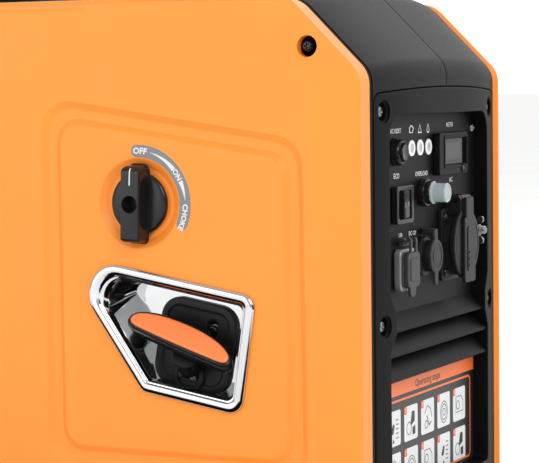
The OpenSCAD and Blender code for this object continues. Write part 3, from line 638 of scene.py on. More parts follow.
def end_outline(t):
    """Outline of an end bezel in y and z, t inside its edge, closely stepped along the crown."""
    half = BEZEL_HALF - t
    radius = 8.0
    points = [Vector((-half + 2 * half * i / 24, TRAY_TOP)) for i in range(25)]
    points += [Vector((half, TRAY_TOP + (arch(102) - 8 - TRAY_TOP) * i / 14)) for i in range(1, 14)]
    middle = half + t - radius
    turn = [Vector((middle + (radius - t) * math.cos(a * math.pi / 12), arch(102) - radius - 0.4
                    + (radius - t) * math.sin(a * math.pi / 12))) for a in range(7)]
    roof = [Vector((middle * (1 - 2 * i / 24), arch(middle * (1 - 2 * i / 24)) - 0.4 - t))
            for i in range(1, 24)]
    left = [Vector((-p.x, p.y)) for p in reversed(points[25:])]
    return points + turn + roof + [Vector((-p.x, p.y)) for p in reversed(turn)] + left


def spread(points, counts=None, step=9.0):
    """Splits the long sides of an outline so that it can follow a curved face."""
    if counts is None:
        counts = [max(1, math.ceil((points[(i + 1) % len(points)] - p).length / step))
                  for i, p in enumerate(points)]
    out = []
    for i, p in enumerate(points):
        after = points[(i + 1) % len(points)]
        out += [p.lerp(after, k / counts[i]) for k in range(counts[i])]
    return out, counts


def end_piece(bm, sign, holes, slot=0):
    """One crowned end: skin, softened edge, returns at the sides, and holes with walls."""
    face_mark = bm.faces.layers.int.new("front")
    edges = [(0, 14), (0, 1.2), (0.35, 0.35), (1.2, 0)]
    rings = stack(bm, [[Vector((sign * (end_x(p.x) - sink), p.x, p.y)) for p in end_outline(t)]
                       for t, sink in edges], slot)
    mouths, backs = [], []
    for corners, radii, floor_x in holes:
        radii = radii if isinstance(radii, (list, tuple)) else [radii] * len(corners)
        counts = None
        loops = []
        for t, sink in ((-0.9, 0), (-0.25, 0.2), (0, 0.9), (0.3, None)):
            loop = rounded(inset(corners, t), [max(r - t, 0.1) for r in radii], 6)
            loop, counts = spread(loop, counts)
            loops.append([Vector((sign * (end_x(p.x) - sink if sink is not None else floor_x), p.x, p.y))
                          for p in loop])
        made = stack(bm, loops, slot)
        mouths.append(made[0])
        backs.append(made[-1])
    fill(bm, rings[0], backs, lambda co: (co.y, co.z), slot)
    known = set(bm.faces)
    fill(bm, rings[-1], mouths, lambda co: (co.y, co.z), slot)
    for face in bm.faces:
        face[face_mark] = face not in known
    for i in range(-12, 13):
        bmesh.ops.bisect_plane(bm, geom=bm.verts[:] + bm.edges[:] + bm.faces[:], plane_co=(0, 9 * i * MM, 0),
                               plane_no=(0, 1, 0), dist=1e-7)
    for face in bm.faces:
        if face[face_mark]:
            for v in face.verts:
                v.co.x = sign * end_x(v.co.y / MM) * MM


SILL = TRAY_TOP + 12
front_mouth = [(-89, SILL), (89, SILL), (90, 143), (82, 155), (82, 168), (90, 181), (90, 296.5), (-90, 296.5),
               (-90, 181), (-82, 168), (-82, 155), (-90, 143)]
bm = bmesh.new()
end_piece(bm, 1, [(front_mouth, [4, 4, 3, 3, 4, 4, 16, 16, 4, 4, 3, 3], PANEL_X - 4)])
backing_low, backing_high = SILL - 1, 176
backing = stack(bm, [[Vector((x, y, z)) for y, z in ((-91, backing_low), (91, backing_low),
                                                     (91, backing_high),
                                                     (-91, backing_high))] for x in (PANEL_X - 8,
                                                                                     PANEL_X - 4.5)])
for end in backing:
    bm.faces.new(end)
for front_z, half in ((155, 82.0), (139.3, 90.2), (123, 90.2)):
    sections = []
    lip = END_X - 0.6
    for y in (-half, half):
        bent = rounded([(PANEL_X - 3, front_z + 11.5), (lip, front_z - 1.4), (lip, front_z + 1.4),
                        (PANEL_X - 3, front_z + 15)], [0.3, 0.7, 1.2, 0.3], 3)
        sections.append([Vector((p.x, y, p.y)) for p in bent])
    blade = stack(bm, sections)
    for end in (blade[0], blade[-1]):
        bm.faces.new(end)
front = finish_piece("front_bezel_moulding", bm, [bezel_abs], replaces=["front_bezel"],
                     weld=False)
BEZEL_DISH = [(0, -4), (7.6, -4), (7.6, 0.4), (7.2, 1.0), (6.2, 1.5), (6.0, 9), (0, 9)]
cut_away(front, [tool("cut", BEZEL_DISH, (-1, 0, 0), (end_x(y) + 0.1, y, z)) for y, z in SCREW_SPOTS])

slots = [([(s * 47 - 39, 190 + 15 * i), (s * 47 + 39, 190 + 15 * i), (s * 47 + 39, 197 + 15 * i),
           (s * 47 - 39, 197 + 15 * i)], 3.2, END_X - 14) for s in (-1, 1) for i in range(7)]
PIPE_Y, PIPE_Z = -38.0, 118.0
pipe_ring = [(PIPE_Y + 36 * math.cos(a * math.pi / 4 + math.pi / 8),
              PIPE_Z + 36 * math.sin(a * math.pi / 4 + math.pi / 8)) for a in range(8)]
bm = bmesh.new()
end_piece(bm, -1, slots + [(pipe_ring, 8, END_X - 14)])
rear = finish_piece("rear_bezel_moulding", bm, [bezel_abs], replaces=["rear_cover"],
                    weld=False)
cut_away(rear, [tool("cut", BEZEL_DISH, (1, 0, 0), (-end_x(y) - 0.1, y, z)) for y, z in SCREW_SPOTS])

# ---------------------------------------------------------------------------------------
# Base. A black tray with a rounded lower edge carries the engine; four tapered rubber feet
# under it and four rubber engine mounts inside keep the shaking off the ground.
tray_low, tray_high = box_of("base_tray")
bm = bmesh.new()
tray = [(tray_low.x, tray_low.y), (tray_high.x, tray_low.y), (tray_high.x, tray_high.y),
        (tray_low.x, tray_high.y)]
profile = [(14, tray_low.z + 0.4), (9, tray_low.z + 0.1), (5, tray_low.z + 0.6), (2.2, tray_low.z + 2.2),
           (0.7, tray_low.z + 5), (0, tray_low.z + 9), (0, tray_low.z + 17), (0.9, tray_low.z + 17.6),
           (0.9, tray_low.z + 19.6), (0, tray_low.z + 20.2), (0, tray_high.z), (4, tray_high.z),
           (4, tray_low.z + 4.5)]
rings = stack(bm, [[Vector((p.x, p.y, z)) for p in rounded(inset(tray, t), max(20 - t, 4), 8)]
                   for t, z in profile])
bm.faces.new(rings[0])
bm.faces.new(rings[-1])
finish_piece("base_tray_moulding", bm, [bezel_abs], replaces=["base_tray"])

# Vulcanised rubber: matt and slightly dusty, with no clear highlight.
rubber = moulded("vulcanised_rubber", "161616", grain=0.5, bump=0.04, rough=0.7, drift=0.08,
                 settings={"Specular IOR Level": 0.35})
FOOT_X, FOOT_Y = END_X - 50, SIDE_Y - 43
bm = bmesh.new()
for x in (-FOOT_X, FOOT_X):
    for y in (-FOOT_Y, FOOT_Y):
        lathe(bm, [(0, 0.9), (11, 0.9), (12, 0), (18.6, 0), (19.8, 0.5), (20.2, 1.6), (20.6, 6), (19.9, 6.6),
                   (19.9, 8.2), (20.8, 8.8), (21.8, 13.2), (21.8, 14.1), (0, 14.1)], (0, 0, 1), (x, y, 0), 40)
mount_x = [30 - 40, 30 + 40]
for x in mount_x:
    for y in (0, 48):
        lathe(bm, [(0, 18), (10.6, 18), (11, 19), (9.4, 26), (9, 32), (9.4, 39), (11, 46), (10.4, 47),
                   (0, 47)],
              (0, 0, 1), (x, y, 0), 32)
finish_piece("feet_and_mounts", bm, [rubber], replaces=["rubber_feet"])

# ---------------------------------------------------------------------------------------
# Case screws. Zinc-plated pan head screws with a pressed cross recess, sunk in the dishes
# of the bezels and in the side shells.
def metal(name, code, rough, grain, bump, metallic=1.0, stretch=(1, 1, 1), drift=0.12, settings=None):
    """Metal whose polish and colour wander along its working marks."""
    made, tree, shader = surface(name, {"Metallic": metallic, "Roughness": rough, **(settings or {})})
    at = add(tree, "Mapping", {"Scale": stretch}, {"Vector": add(tree, "TexCoord").outputs["Object"]})
    marks = add(tree, "TexNoise", {"Scale": 1 / (grain * MM) / 2, "Detail": 3.0}, {"Vector": at.outputs[0]})
    base = linear(code)
    tint = add(tree, "ValToRGB", links={"Fac": marks.outputs["Fac"]})
    tint.color_ramp.elements[0].position = 0.25
    tint.color_ramp.elements[1].position = 0.75
    tint.color_ramp.elements[0].color = tuple(c * (1 - drift) for c in base[:3]) + (1,)
    tint.color_ramp.elements[1].color = tuple(min(1, c * (1 + drift)) for c in base[:3]) + (1,)
    polish = add(tree, "MapRange", {"To Min": rough * 0.75, "To Max": min(1, rough * 1.3)},
                 {"Value": marks.outputs["Fac"]})
    press = add(tree, "Bump", {"Distance": bump * MM}, {"Height": marks.outputs["Fac"]})
    tree.links.new(tint.outputs[0], shader.inputs["Base Color"])
    tree.links.new(polish.outputs[0], shader.inputs["Roughness"])
    tree.links.new(press.outputs[0], shader.inputs["Normal"])
    return made


# Zinc plate on pressed steel: soft grey reflections; the black passivated one is darker.
zinc = metal("zinc_plated_steel_pressed", "8a8a8c", 0.32, 0.8, 0.01)
black_zinc = metal("black_passivated_steel", "3c3b3d", 0.3, 0.8, 0.01)


def screw(bm, place, radius=4.2, head=3.0, slot=0):
    """Pan head with a cross recess; place(u, v, h) has h along the screw, out of the surface."""
    count = 48
    arm, width, depth = radius * 0.55, radius * 0.14, head * 0.55

    def ringlet(r, h):
        return [place(r * math.cos(2 * math.pi * i / count), r * math.sin(2 * math.pi * i / count), h)
                for i in range(count)]

    def cross(reach, half, h):
        out = []
        for i in range(count):
            a = 2 * math.pi * i / count
            near = (a + math.pi / 4) % (math.pi / 2) - math.pi / 4
            r = min(reach / math.cos(near), half / max(0.02, abs(math.sin(near))))
            out.append(place(r * math.cos(a), r * math.sin(a), h))
        return out

    rings = [ringlet(2, -8), ringlet(2, 0), ringlet(radius, 0), ringlet(radius, head * 0.35),
             ringlet(radius * 0.94, head * 0.65), ringlet(radius * 0.78, head * 0.9),
             ringlet(radius * 0.66, head),
             cross(arm, width, head), cross(arm * 0.6, width * 0.8, head - depth)]
    made = stack(bm, rings, slot)
    for end in (made[0], made[-1]):
        bm.faces.new(end).material_index = slot


bm = bmesh.new()
for y, z in SCREW_SPOTS:
    for sign in (1, -1):
        seat = end_x(y) - 5.2
        screw(bm, lambda u, v, h, s=sign, y=y, z=z, x=seat: Vector((s * (x + h), y + u, z + v)))
for x in (-SCREW_X, SCREW_X):
    for sign in (1, -1):
        screw(bm, lambda u, v, h, s=sign, x=x: Vector((x + u, s * (SIDE_Y - 8 + h), SCREW_Z + v)), 3.6, 3.0,
              1)
finish_piece("case_screw_set", bm, [zinc, black_zinc], replaces=["case_screws"],
             weld=False)

# ---------------------------------------------------------------------------------------
# Choke knob. A glossy black moulded dial with a bevelled finger bar turns on a steel shaft
# in the dish of the starter panel; its three positions are printed on a grey band.
# Polished-tool ABS: smooth enough to give the knob and handle a soft streak of light.
black_abs = moulded("black_abs_polished_tool", "151517", grain=0.5, bump=0.006, rough=0.24, drift=0.05,
                    settings={"Specular IOR Level": 0.35})
KNOB_TURN = math.radians(2)


def on_knob(u, v, h):
    """Plan and height on the knob, height measured out of the shell's face."""
    c, s = math.cos(KNOB_TURN), math.sin(KNOB_TURN)
    return Vector((KNOB.x + u * c + v * s, KNOB.y - h, KNOB.z - u * s + v * c))


bm = bmesh.new()
lathe(bm, [(0, -4.2), (19.4, -4.2), (20.5, -2.1), (20.5, -0.9), (20.1, 0.0), (18.8, 0.7), (15, 1.1),
           (0, 1.4)],
      (0, -1, 0), KNOB, 64)
BAR_TOP = 13.0


def bar_height(v, h=BAR_TOP):
    """Height of the finger bar: it falls away a little at both ends."""
    return h - 0.26 * h * max(0, (abs(v) - 20.5) / 4.5) ** 2 if h > 3 else h


bar = []
for t, h in ((-1.2, 0.2), (-0.4, 0.9), (-0.1, 2.2), (0, 5), (0, 11.2), (0.15, 12.2), (0.45, 12.75),
             (0.9, BAR_TOP)):
    outline = rounded([(-7 + t, -25 + t), (7 - t, -25 + t), (7 - t, 25 - t), (-7 + t, 25 - t)],
                      [max(2.5 - t, 1), max(2.5 - t, 1), max(4 - t, 1), max(4 - t, 1)], 6)
    bar.append([on_knob(p.x, p.y, bar_height(p.y, h)) for p in outline])
bar = stack(bm, bar)
bm.faces.new(bar[0])
bore = stack(bm, [[on_knob(p.x, p.y, h) for p in circle(r, 28)]
                  for r, h in ((5.75, BAR_TOP), (5.4, 12.6), (5.25, 11.8), (5.2, 3.2))])
bm.faces.new(bore[-1])
fill(bm, bar[-1], [bore[0]])
finish_piece("choke_knob_moulding", bm, [black_abs], "choke_control", ["choke_knob"],
             angle=40)

# Pad-printed ink and foil: flat, thin and dull, so the letters read as paint and not metal.
pad_ink = moulded("pad_printed_white_ink", "dcdcda", grain=0.3, bump=0.002, rough=0.5, drift=0.02)
decal_grey = moulded("screen_printed_grey_foil", "77797c", grain=0.3, bump=0.003, rough=0.38, drift=0.03)
bm = bmesh.new()
line = [(12.4 + 1.1 * i) for i in range(11)]
sides = [ring(bm, [on_knob(u, v, bar_height(v) + 0.08) for v in line]) for u in (-0.42, 0.42)]
for i in range(10):
    bm.faces.new([sides[0][i], sides[1][i], sides[1][i + 1], sides[0][i + 1]])
finish_piece("choke_pointer", bm, [pad_ink], "choke_control", outward=False)

# Turned steel: fine rings round the axis stretch its highlight into a line.
shaft_steel = metal("turned_steel_bright", "a9aaad", 0.28, 0.3, 0.006, stretch=(1, 12, 1))
bm = bmesh.new()
lathe(bm, [(0, 2.7), (3.4, 2.7), (4, 3.2), (4, 16), (14.4, 16), (15, 16.5), (15, 20.4), (14.4, 21), (0, 21)],
      (0, 1, 0), KNOB, 40)
plate(bm, [(-5, 0), (5, 0), (4, 24), (-4, 24)], [0.5, 0.5, 3, 3], lambda u, v, h: on_knob(u, v, -h), 16.2,
      20.8, 0.4)
finish_piece("choke_shaft_turned", bm, [shaft_steel], "choke_control", ["choke_shaft"])


def lettering(bm, text, size, place, bold=0.0, slot=0, spread_out=1.0, tall=1.0):
    """Flat words cut from a plain sans outline; place(u, v) sets each corner on the part."""
    curve = bpy.data.curves.new("words", "FONT")
    curve.body = text
    curve.size = size
    curve.align_x = "CENTER"
    curve.align_y = "CENTER"
    curve.offset = bold
    curve.space_character = spread_out
    curve.resolution_u = 3
    words = bpy.data.objects.new("words", curve)
    bpy.context.scene.collection.objects.link(words)
    flat = bpy.data.meshes.new_from_object(words.evaluated_get(bpy.context.evaluated_depsgraph_get()))
    made = [bm.verts.new(place(v.co.x, v.co.y * tall) * MM) for v in flat.vertices]
    for face in flat.polygons:
        corners = [made[i] for i in face.vertices]
        if not bm.faces.get(corners):
            bm.faces.new(corners).material_index = slot
    bpy.data.objects.remove(words)
    bpy.data.curves.remove(curve)
    bpy.data.meshes.remove(flat)


# The band is a foil laid round the dish from straight above the knob to its right, with
# three words and two tapering sweeps printed on it.
def on_band(radius, angle, h):
    return Vector((KNOB.x + radius * math.cos(angle), KNOB.y - h, KNOB.z + radius * math.sin(angle)))


FROM, TO = math.radians(92), math.radians(-22)
outline = [(38.3, FROM + (TO - FROM) * i / 30) for i in range(31)]
outline += [(34.25 + 4.05 * math.cos(a * math.pi / 8), TO - 0.118 * math.sin(a * math.pi / 8))
            for a in range(1, 8)]
outline += [(30.2, TO + (FROM - TO) * i / 30) for i in range(31)]
outline += [(34.25 - 4.05 * math.cos(a * math.pi / 8), FROM + 0.118 * math.sin(a * math.pi / 8))
            for a in range(1, 8)]
bm = bmesh.new()
band = stack(bm, [[on_band(r, a, h) for r, a in outline] for h in (-0.2, 0.12)])
fill(bm, band[-1])
finish_piece("dial_band_foil", bm, [decal_grey], replaces=["dial_decal"])
bm = bmesh.new()


def round_band(middle, radius=34.2):
    return lambda u, v: on_band(radius + v, middle - u / radius, 0.2)


for word, turn, size in (("OFF", 87.5, 5.6), ("ON", 33.5, 4.9), ("CHOKE", -14.5, 5.0)):
    lettering(bm, word, size, round_band(math.radians(turn)), 0.2, spread_out=1.04)
for first, last in ((75, 40.5), (4, 25.5)):
    sweep_low = [(34.3 - 1.5 * i / 12, math.radians(first + (last - first) * i / 12)) for i in range(13)]
    sweep_high = [(34.3 + 1.5 * i / 12, a) for i, (r, a) in enumerate(sweep_low)]
    strip_a = ring(bm, [on_band(r, a, 0.2) for r, a in sweep_low])
    strip_b = ring(bm, [on_band(r + 0.15, a, 0.2) for r, a in sweep_high])
    for i in range(12):
        bm.faces.new([strip_a[i], strip_a[i + 1], strip_b[i + 1], strip_b[i]])
finish_piece("dial_words", bm, [pad_ink], outward=False)

# ---------------------------------------------------------------------------------------
# Starter surround. A deep ABS funnel, chrome plated all over, is clipped into the opening;
# its rolled flange, stepped lip and long sloping wall catch the bright and dark bands.
# Chrome-plated ABS: a mirror with faint ripples that the lights and floor show up in.
chrome_mat, chrome_tree, chrome_shader = surface("chrome_plated_abs", {"Metallic": 1.0, "Roughness": 0.06})
at = add(chrome_tree, "TexCoord").outputs["Object"]
haze = add(chrome_tree, "TexNoise", {"Scale": 60.0, "Detail": 3.0}, {"Vector": at})
ripple = add(chrome_tree, "TexNoise", {"Scale": 26.0, "Detail": 1.0}, {"Vector": at})
tone = add(chrome_tree, "ValToRGB", links={"Fac": haze.outputs["Fac"]})
tone.color_ramp.elements[0].color = linear("c9cacc")
tone.color_ramp.elements[1].color = linear("dcdddf")
wipe = add(chrome_tree, "MapRange", {"To Min": 0.04, "To Max": 0.13}, {"Value": haze.outputs["Fac"]})
sink = add(chrome_tree, "Bump", {"Distance": 0.00025, "Strength": 0.5}, {"Height": ripple.outputs["Fac"]})
chrome_tree.links.new(tone.outputs[0], chrome_shader.inputs["Base Color"])
chrome_tree.links.new(wipe.outputs[0], chrome_shader.inputs["Roughness"])
chrome_tree.links.new(sink.outputs[0], chrome_shader.inputs["Normal"])

floor_corners = [(-24, -31), (34, -41), (41, 26), (-42, 38)]
rim = [(3.9, 1.2), (1.6, 1.0), (0.5, 0.5), (0.0, -0.6), (0.15, -1.5), (0.8, -2.4), (2.0, -2.9), (3.4, -3.05),
       (5.0, -2.9), (6.0, -2.55), (6.4, -2.2), (6.6, -1.6), (6.9, -1.45), (7.5, -1.4), (7.8, -1.2),
       (8.1, -0.4),
       (8.4, 0.3), (9.0, 1.4)]
rings = [pick(t, y, 10) for t, y in rim]
start = [Vector((p.x - START_X, p.z - START_Z)) for p in pick(9.0, 0, 10)]
low = [Vector((p.x - START_X, p.z - START_Z)) for p in on_starter_side(floor_corners, 0, [5, 5, 7, 7], 10)]
for share, depth in ((0.05, 0.08), (0.5, 0.52), (0.93, 0.94), (0.975, 0.985), (1.0, 1.0)):
    rings.append([Vector((START_X + a.lerp(b, share).x, -SIDE_Y + 1.4 + depth * 24.4,
                          START_Z + a.lerp(b, share).y))
                  for a, b in zip(start, low)])
bm = bmesh.new()
wall = stack(bm, rings)
hole_at = (START_X + 3.5, START_Z - 24)
mouth = lathe(bm, [(7.0, 25.8), (6.9, 26.2), (6.9, 28)], (0, 1, 0), (hole_at[0], -SIDE_Y, hole_at[1]), 32)
fill(bm, wall[-1], [mouth[0]])
backs = [[Vector((START_X + a.lerp(b, share).x, -SIDE_Y + 1.4 + depth * 26.8, START_Z + a.lerp(b, share).y))
          for a, b in zip([Vector((p.x - START_X, p.z - START_Z)) for p in pick(7.6, 0, 10)],
                          [Vector((p.x - START_X, p.z - START_Z)) for p in
                           on_starter_side(inset(floor_corners, -2), 0, [6, 6, 8, 8], 10)])]
         for share, depth in ((0.0, 0.02), (1.0, 0.992))]
behind = stack(bm, backs)
bridge(bm, behind[0], wall[0])
fill(bm, behind[-1], [mouth[-1]])
finish_piece("starter_surround_chrome", bm, [chrome_mat], replaces=["starter_bezel"],
             angle=50)

# The guide plate on the funnel's floor is black nylon with the rope's bush below and one
# long screw hole above; it takes the wear of the rope.
tilt = math.radians(10)


def on_guide(u, v, h):
    """Guide plate plan, turned on the floor, at h millimetres into the case."""
    c, s = math.cos(tilt), math.sin(tilt)
    return Vector((START_X + 5.5 + u * c + v * s, -SIDE_Y + h, START_Z - 4 - u * s + v * c))


bm = bmesh.new()
layers = [(0.6, 25.9), (0, 25.2), (0, 23.2), (0.3, 22.5), (1.0, 22.1), (4.4, 22.0), (5.2, 22.2), (6.0, 22.9),
          (7.2, 23.0)]
rings = stack(bm, [[on_guide(p.x, p.y, y) for p in rounded(inset(oblong(56, 60), t), 14 - min(t, 6), 8)]
                   for t, y in layers])
bush_u, bush_v = -1.2, -20.4
long_hole = rounded([(6.2, 6.5), (14.6, 6.5), (14.6, 20.5), (6.2, 20.5)], 4.15, 8)
slot_rings = stack(bm, [[on_guide(p.x + (10.4 - p.x) * k, p.y + (13.5 - p.y) * k, y) for p in long_hole]
                        for k, y in ((0, 23.0), (0.06, 23.2), (0.1, 23.8), (0.1, 25.9))])
bush = stack(bm, [[on_guide(bush_u + p.x, bush_v + p.y, y) for p in circle(r, 36)]
                  for r, y in ((12.6, 23.0), (12.0, 22.4), (11.6, 21.0), (10.9, 20.5), (8.6, 20.5),
                               (7.9, 21.0),
                               (7.5, 22.4), (7.5, 25.9))])
fill(bm, rings[-1], [slot_rings[0], bush[0]])
fill(bm, rings[0], [slot_rings[-1], bush[-1]])
finish_piece("rope_guide_moulding", bm, [black_nylon], replaces=["guide_plate"])
bm = bmesh.new()
screw(bm, lambda u, v, h: on_guide(10.4 + u, 12.6 + v, 25.6 - h), 3.6, 2.6)
finish_piece("rope_guide_screw", bm, [black_zinc], weld=False)

# ---------------------------------------------------------------------------------------
# Starter handle. A leaf-shaped grip of black ABS with an orange finger insert clipped in
# its face stands on a short stem; the rope is knotted inside it.
BUSH = Vector((START_X + 3.5, -SIDE_Y + 22, START_Z - 23))
pull_low = Vector((0.2303, -0.7660, 0.6001))
level_x = Vector((0.9336, 0, -0.3584))
LEAN = math.radians(4.5)
along = level_x * math.cos(LEAN) + pull_low.cross(level_x) * math.sin(LEAN)
across = pull_low.cross(along)
LEAF = 39.5


def on_handle(u, v, h):
    """Handle plan (u along the grip, v over it) and height along the pull."""
    return BUSH + along * (u - 5.5) + across * (v + 6.5) + pull_low * h


def leaf(t):
    """Grip outline t inside its edge, anticlockwise: a straight lower edge under a long curved back."""
    back = [(1.0, -5.2), (0.99, -2.8), (0.95, -0.4), (0.85, 2.9), (0.7, 6.1), (0.52, 8.6), (0.32, 10.4),
            (0.1, 11.5),
            (-0.14, 11.9), (-0.38, 11.6), (-0.6, 10.4), (-0.8, 8.2), (-0.92, 5.6), (-0.99, 2.0)]
    front = [(-1.0, -1.8), (-0.96, -4.4), (-0.86, -6.0), (-0.4, -7.6), (0.0, -8.5), (0.4, -9.3), (0.8, -9.7),
             (0.93, -9.2), (0.985, -7.6)]
    return [Vector((x * (LEAF - t), 1.2 + (y - 1.2) * (10.6 - t) / 10.6)) for x, y in back + front]


bm = bmesh.new()
grip_rings = [(6.0, 23.4), (2.6, 24.2), (0.9, 26.0), (0.1, 28.6), (0, 31.5), (0.2, 34.2), (0.8, 35.5),
              (1.5, 36.0),
              (2.2, 36.0), (2.4, 35.0)]
rings = stack(bm, [[on_handle(p.x, p.y, h) for p in leaf(t)] for t, h in grip_rings])
bm.faces.new(rings[-1])
bm.faces.new(rings[0])
lathe(bm, [(0, 8.0), (6.4, 8.0), (7.4, 9.0), (7.5, 14), (7.5, 19), (7.9, 21.6), (8.8, 23.8), (8.8, 25),
           (0, 25)],
      pull_low, BUSH, 40)
finish_piece("starter_grip_moulding", bm, [black_abs], "starter_grip", ["starter_handle"],
             angle=40)

# Orange ABS insert: a little redder and smoother than the case, so it stands out in the recess.
orange_grip = moulded("orange_abs_insert", "fd8244", grain=0.6, bump=0.01, rough=0.34, drift=0.03)
bm = bmesh.new()
face = [(2.6, 35.2), (2.5, 36.2), (2.8, 36.9), (3.6, 37.4), (5.0, 37.6)]
rings = stack(bm, [[on_handle(p.x, p.y, h) for p in leaf(t)] for t, h in face])
bm.faces.new(rings[-1])
bm.faces.new(rings[0])
finish_piece("grip_insert_orange", bm, [orange_grip], "starter_grip", ["handle_insert"],
             angle=40)

# The starter rope is braided polyester. Between the bush and the grip it pays out; behind
# the funnel it turns over a guide and runs on to the pulley.
# Braided polyester: crossing pale strands with a fuzz at grazing angles.
rope_mat, rope_tree, rope_shader = surface("braided_polyester", {"Roughness": 0.85, "Sheen Weight": 0.3})
at = add(rope_tree, "TexCoord").outputs["Object"]
strands = add(rope_tree, "TexWave", {"Scale": 210.0, "Distortion": 2.0, "bands_direction": "DIAGONAL"},
              {"Vector": at})
yarn = add(rope_tree, "ValToRGB", links={"Fac": strands.outputs["Fac"]})
yarn.color_ramp.elements[0].color = linear("8f8b80")
yarn.color_ramp.elements[1].color = linear("c9c5b8")
weave = add(rope_tree, "Bump", {"Distance": 0.0003}, {"Height": strands.outputs["Fac"]})
rope_tree.links.new(yarn.outputs[0], rope_shader.inputs["Base Color"])
rope_tree.links.new(weave.outputs[0], rope_shader.inputs["Normal"])


def rope_run(bm, a, b, steps, radius=2.0, count=14):
    a, b = Vector(a), Vector(b)
    axis = (b - a).normalized()
    span = (b - a).length
    made = lathe(bm, [(0, 0)] + [(radius, span * i / steps) for i in range(steps + 1)] + [(0, span)], axis,
                 a, count)
    return made


rope_turn = BUSH - pull_low * 12
rope_guide = Vector((rope_turn.x, -99, rope_turn.z))
pulley = Vector((30, -99, 125))
reach = Vector((rope_guide.x - pulley.x, rope_guide.z - pulley.z))
leave = math.atan2(reach.y, reach.x) - math.acos(38 / reach.length)
rope_off = pulley + 38 * Vector((math.cos(leave), 0, math.sin(leave)))
bm = bmesh.new()
for a, b in ((rope_turn, rope_guide), (rope_guide, rope_off)):
    rope_run(bm, a, b, 3)
for spot in (rope_turn, rope_guide):
    bmesh.ops.create_uvsphere(bm, u_segments=14, v_segments=8, radius=2.25 * MM,
                              matrix=Matrix.Translation(spot * MM))
finish_piece("starter_rope_inner", bm, [rope_mat], replaces=["starter_rope"], weld=False)
bm = bmesh.new()
rope_run(bm, rope_turn, BUSH + pull_low * 10, 24)
outer_rope = finish_piece("starter_rope_outer", bm, [rope_mat], None, weld=False)
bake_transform(outer_rope)

# ---------------------------------------------------------------------------------------
# Control panel. A black ABS plate screwed behind the bezel's window carries the meter,
# switches and outlets, with the legends pad printed in white beside them.
# Fine spark-eroded ABS: dull black that lets the white print and the lamps stand out.
panel_abs = moulded("black_abs_fine_sparked", "0e0e10", grain=0.6, bump=0.035, rough=0.46, drift=0.04,
                    settings={"Specular IOR Level": 0.1})


def panel_place(cy, cz):
    """Plan on the control panel about a centre (across, up), with height out of its face."""
    return lambda u, v, h: Vector((PANEL_X + h, cy + u, PANEL_Z + cz + v))


def framed(bm, corners, radius, hole, hole_radius, place, low, high, floor, edge=0.5, slot=0, steps=6):
    """Closed plate with a straight-sided pocket down to floor; all its edges are softened."""
    outer = stack(bm, [[place(p.x, p.y, h) for p in rounded(inset(corners, t), max(radius - t, 0.05), steps)]
                       for t, h in ((edge, low), (0, low + edge), (0, high - edge),
                                    (0.29 * edge, high - 0.29 * edge),
                                    (edge, high))], slot)
    inner = stack(bm, [[place(p.x, p.y, h)
                        for p in rounded(inset(hole, t), max(hole_radius - t, 0.05), steps)]
                       for t, h in ((-edge * 0.6, high), (-edge * 0.2, high - edge * 0.2),
                                    (0, high - edge * 0.6),
                                    (0, floor))], slot)
    fill(bm, outer[-1], [inner[0]], lambda co: (co.y, co.z), slot)
    bm.faces.new(outer[0]).material_index = slot
    bm.faces.new(inner[-1]).material_index = slot


bm = bmesh.new()
face = panel_place(0, 0)
plate(bm, [(-93, -72), (93, -72), (93, 63), (-93, 63)], 4, face, -3, 0, 0.4)
finish_piece("control_panel_plate", bm, [panel_abs], replaces=["control_panel"])
bm = bmesh.new()


def on_face(cy, cz, h=0.06):
    return lambda u, v: Vector((PANEL_X + h, cy + u, PANEL_Z + cz + v))


for word, size, y, z in (("AC RESET", 4.3, -57.0, 49.0), ("METER", 4.3, 41.0, 51.0),
                         ("OVERLOAD", 4.3, -12.0, 19.2),
                         ("ECO", 4.8, -56.2, 19.4), ("AC", 4.6, 43.0, 0.6 + 12),
                         ("DC 12V", 3.9, -29.0, -20.0),
                         ("USB", 3.6, -50.0, -20.0)):
    lettering(bm, word, size, on_face(y, z), 0.05)
for y, shape in ((-29.8, [(-2.6, -1.6), (2.0, -1.6), (2.0, -0.6), (2.8, -0.6), (2.8, 1.0), (2.0, 1.0),
                          (1.2, 1.8),
                          (-1.6, 1.8), (-1.6, 1.0), (-2.6, 1.0)]),
                 (-14.6, [(-2.5, -1.9), (2.5, -1.9), (0, 2.3)]),
                 (0.4, [(0, 2.4), (-1.2, 0.6), (-1.8, -0.7), (-1.2, -1.8), (0, -2.2), (1.2, -1.8),
                        (1.8, -0.7), (1.2, 0.6)])):
    icon = ring(bm, [on_face(y, 49.6)(u * 1.4, v * 1.5) for u, v in shape])
    inner_icon = ring(bm, [on_face(y, 49.6)(u * 0.95, v * 1.05 - 0.1) for u, v in shape])
    bridge(bm, icon, inner_icon)
bmesh.ops.remove_doubles(bm, verts=bm.verts, dist=1e-7)
finish_piece("panel_legends", bm, [pad_ink], outward=False)

# Three indicator lamps: white lenses with a slightly sunk grey centre.
# Milky acrylic: a bright soft lens with a greyer diffuser at its middle.
led_lens = moulded("milky_acrylic_lens", "f2f2f0", grain=0.4, bump=0.002, rough=0.18, drift=0.02,
                   settings={"Subsurface Weight": 0.2, "Subsurface Radius": (0.002, 0.002, 0.002)})
led_core = moulded("grey_acrylic_diffuser", "a9abad", grain=0.4, bump=0.002, rough=0.3, drift=0.03)
bm = bmesh.new()
for y in (-29.8, -14.6, 0.4):
    at = face(y, 37, 0)
    lathe(bm, [(0, -1), (5.4, -1), (5.4, 0.5), (5.1, 0.85), (4.4, 1.0), (3.5, 0.9), (3.2, 0.6)], (1, 0, 0),
          at, 36)
    lathe(bm, [(3.2, 0.6), (2.4, 0.75), (0, 0.85)], (1, 0, 0), at, 36, 1)
finish_piece("indicator_lamps", bm, [led_lens, led_core], replaces=["indicator_leds"])

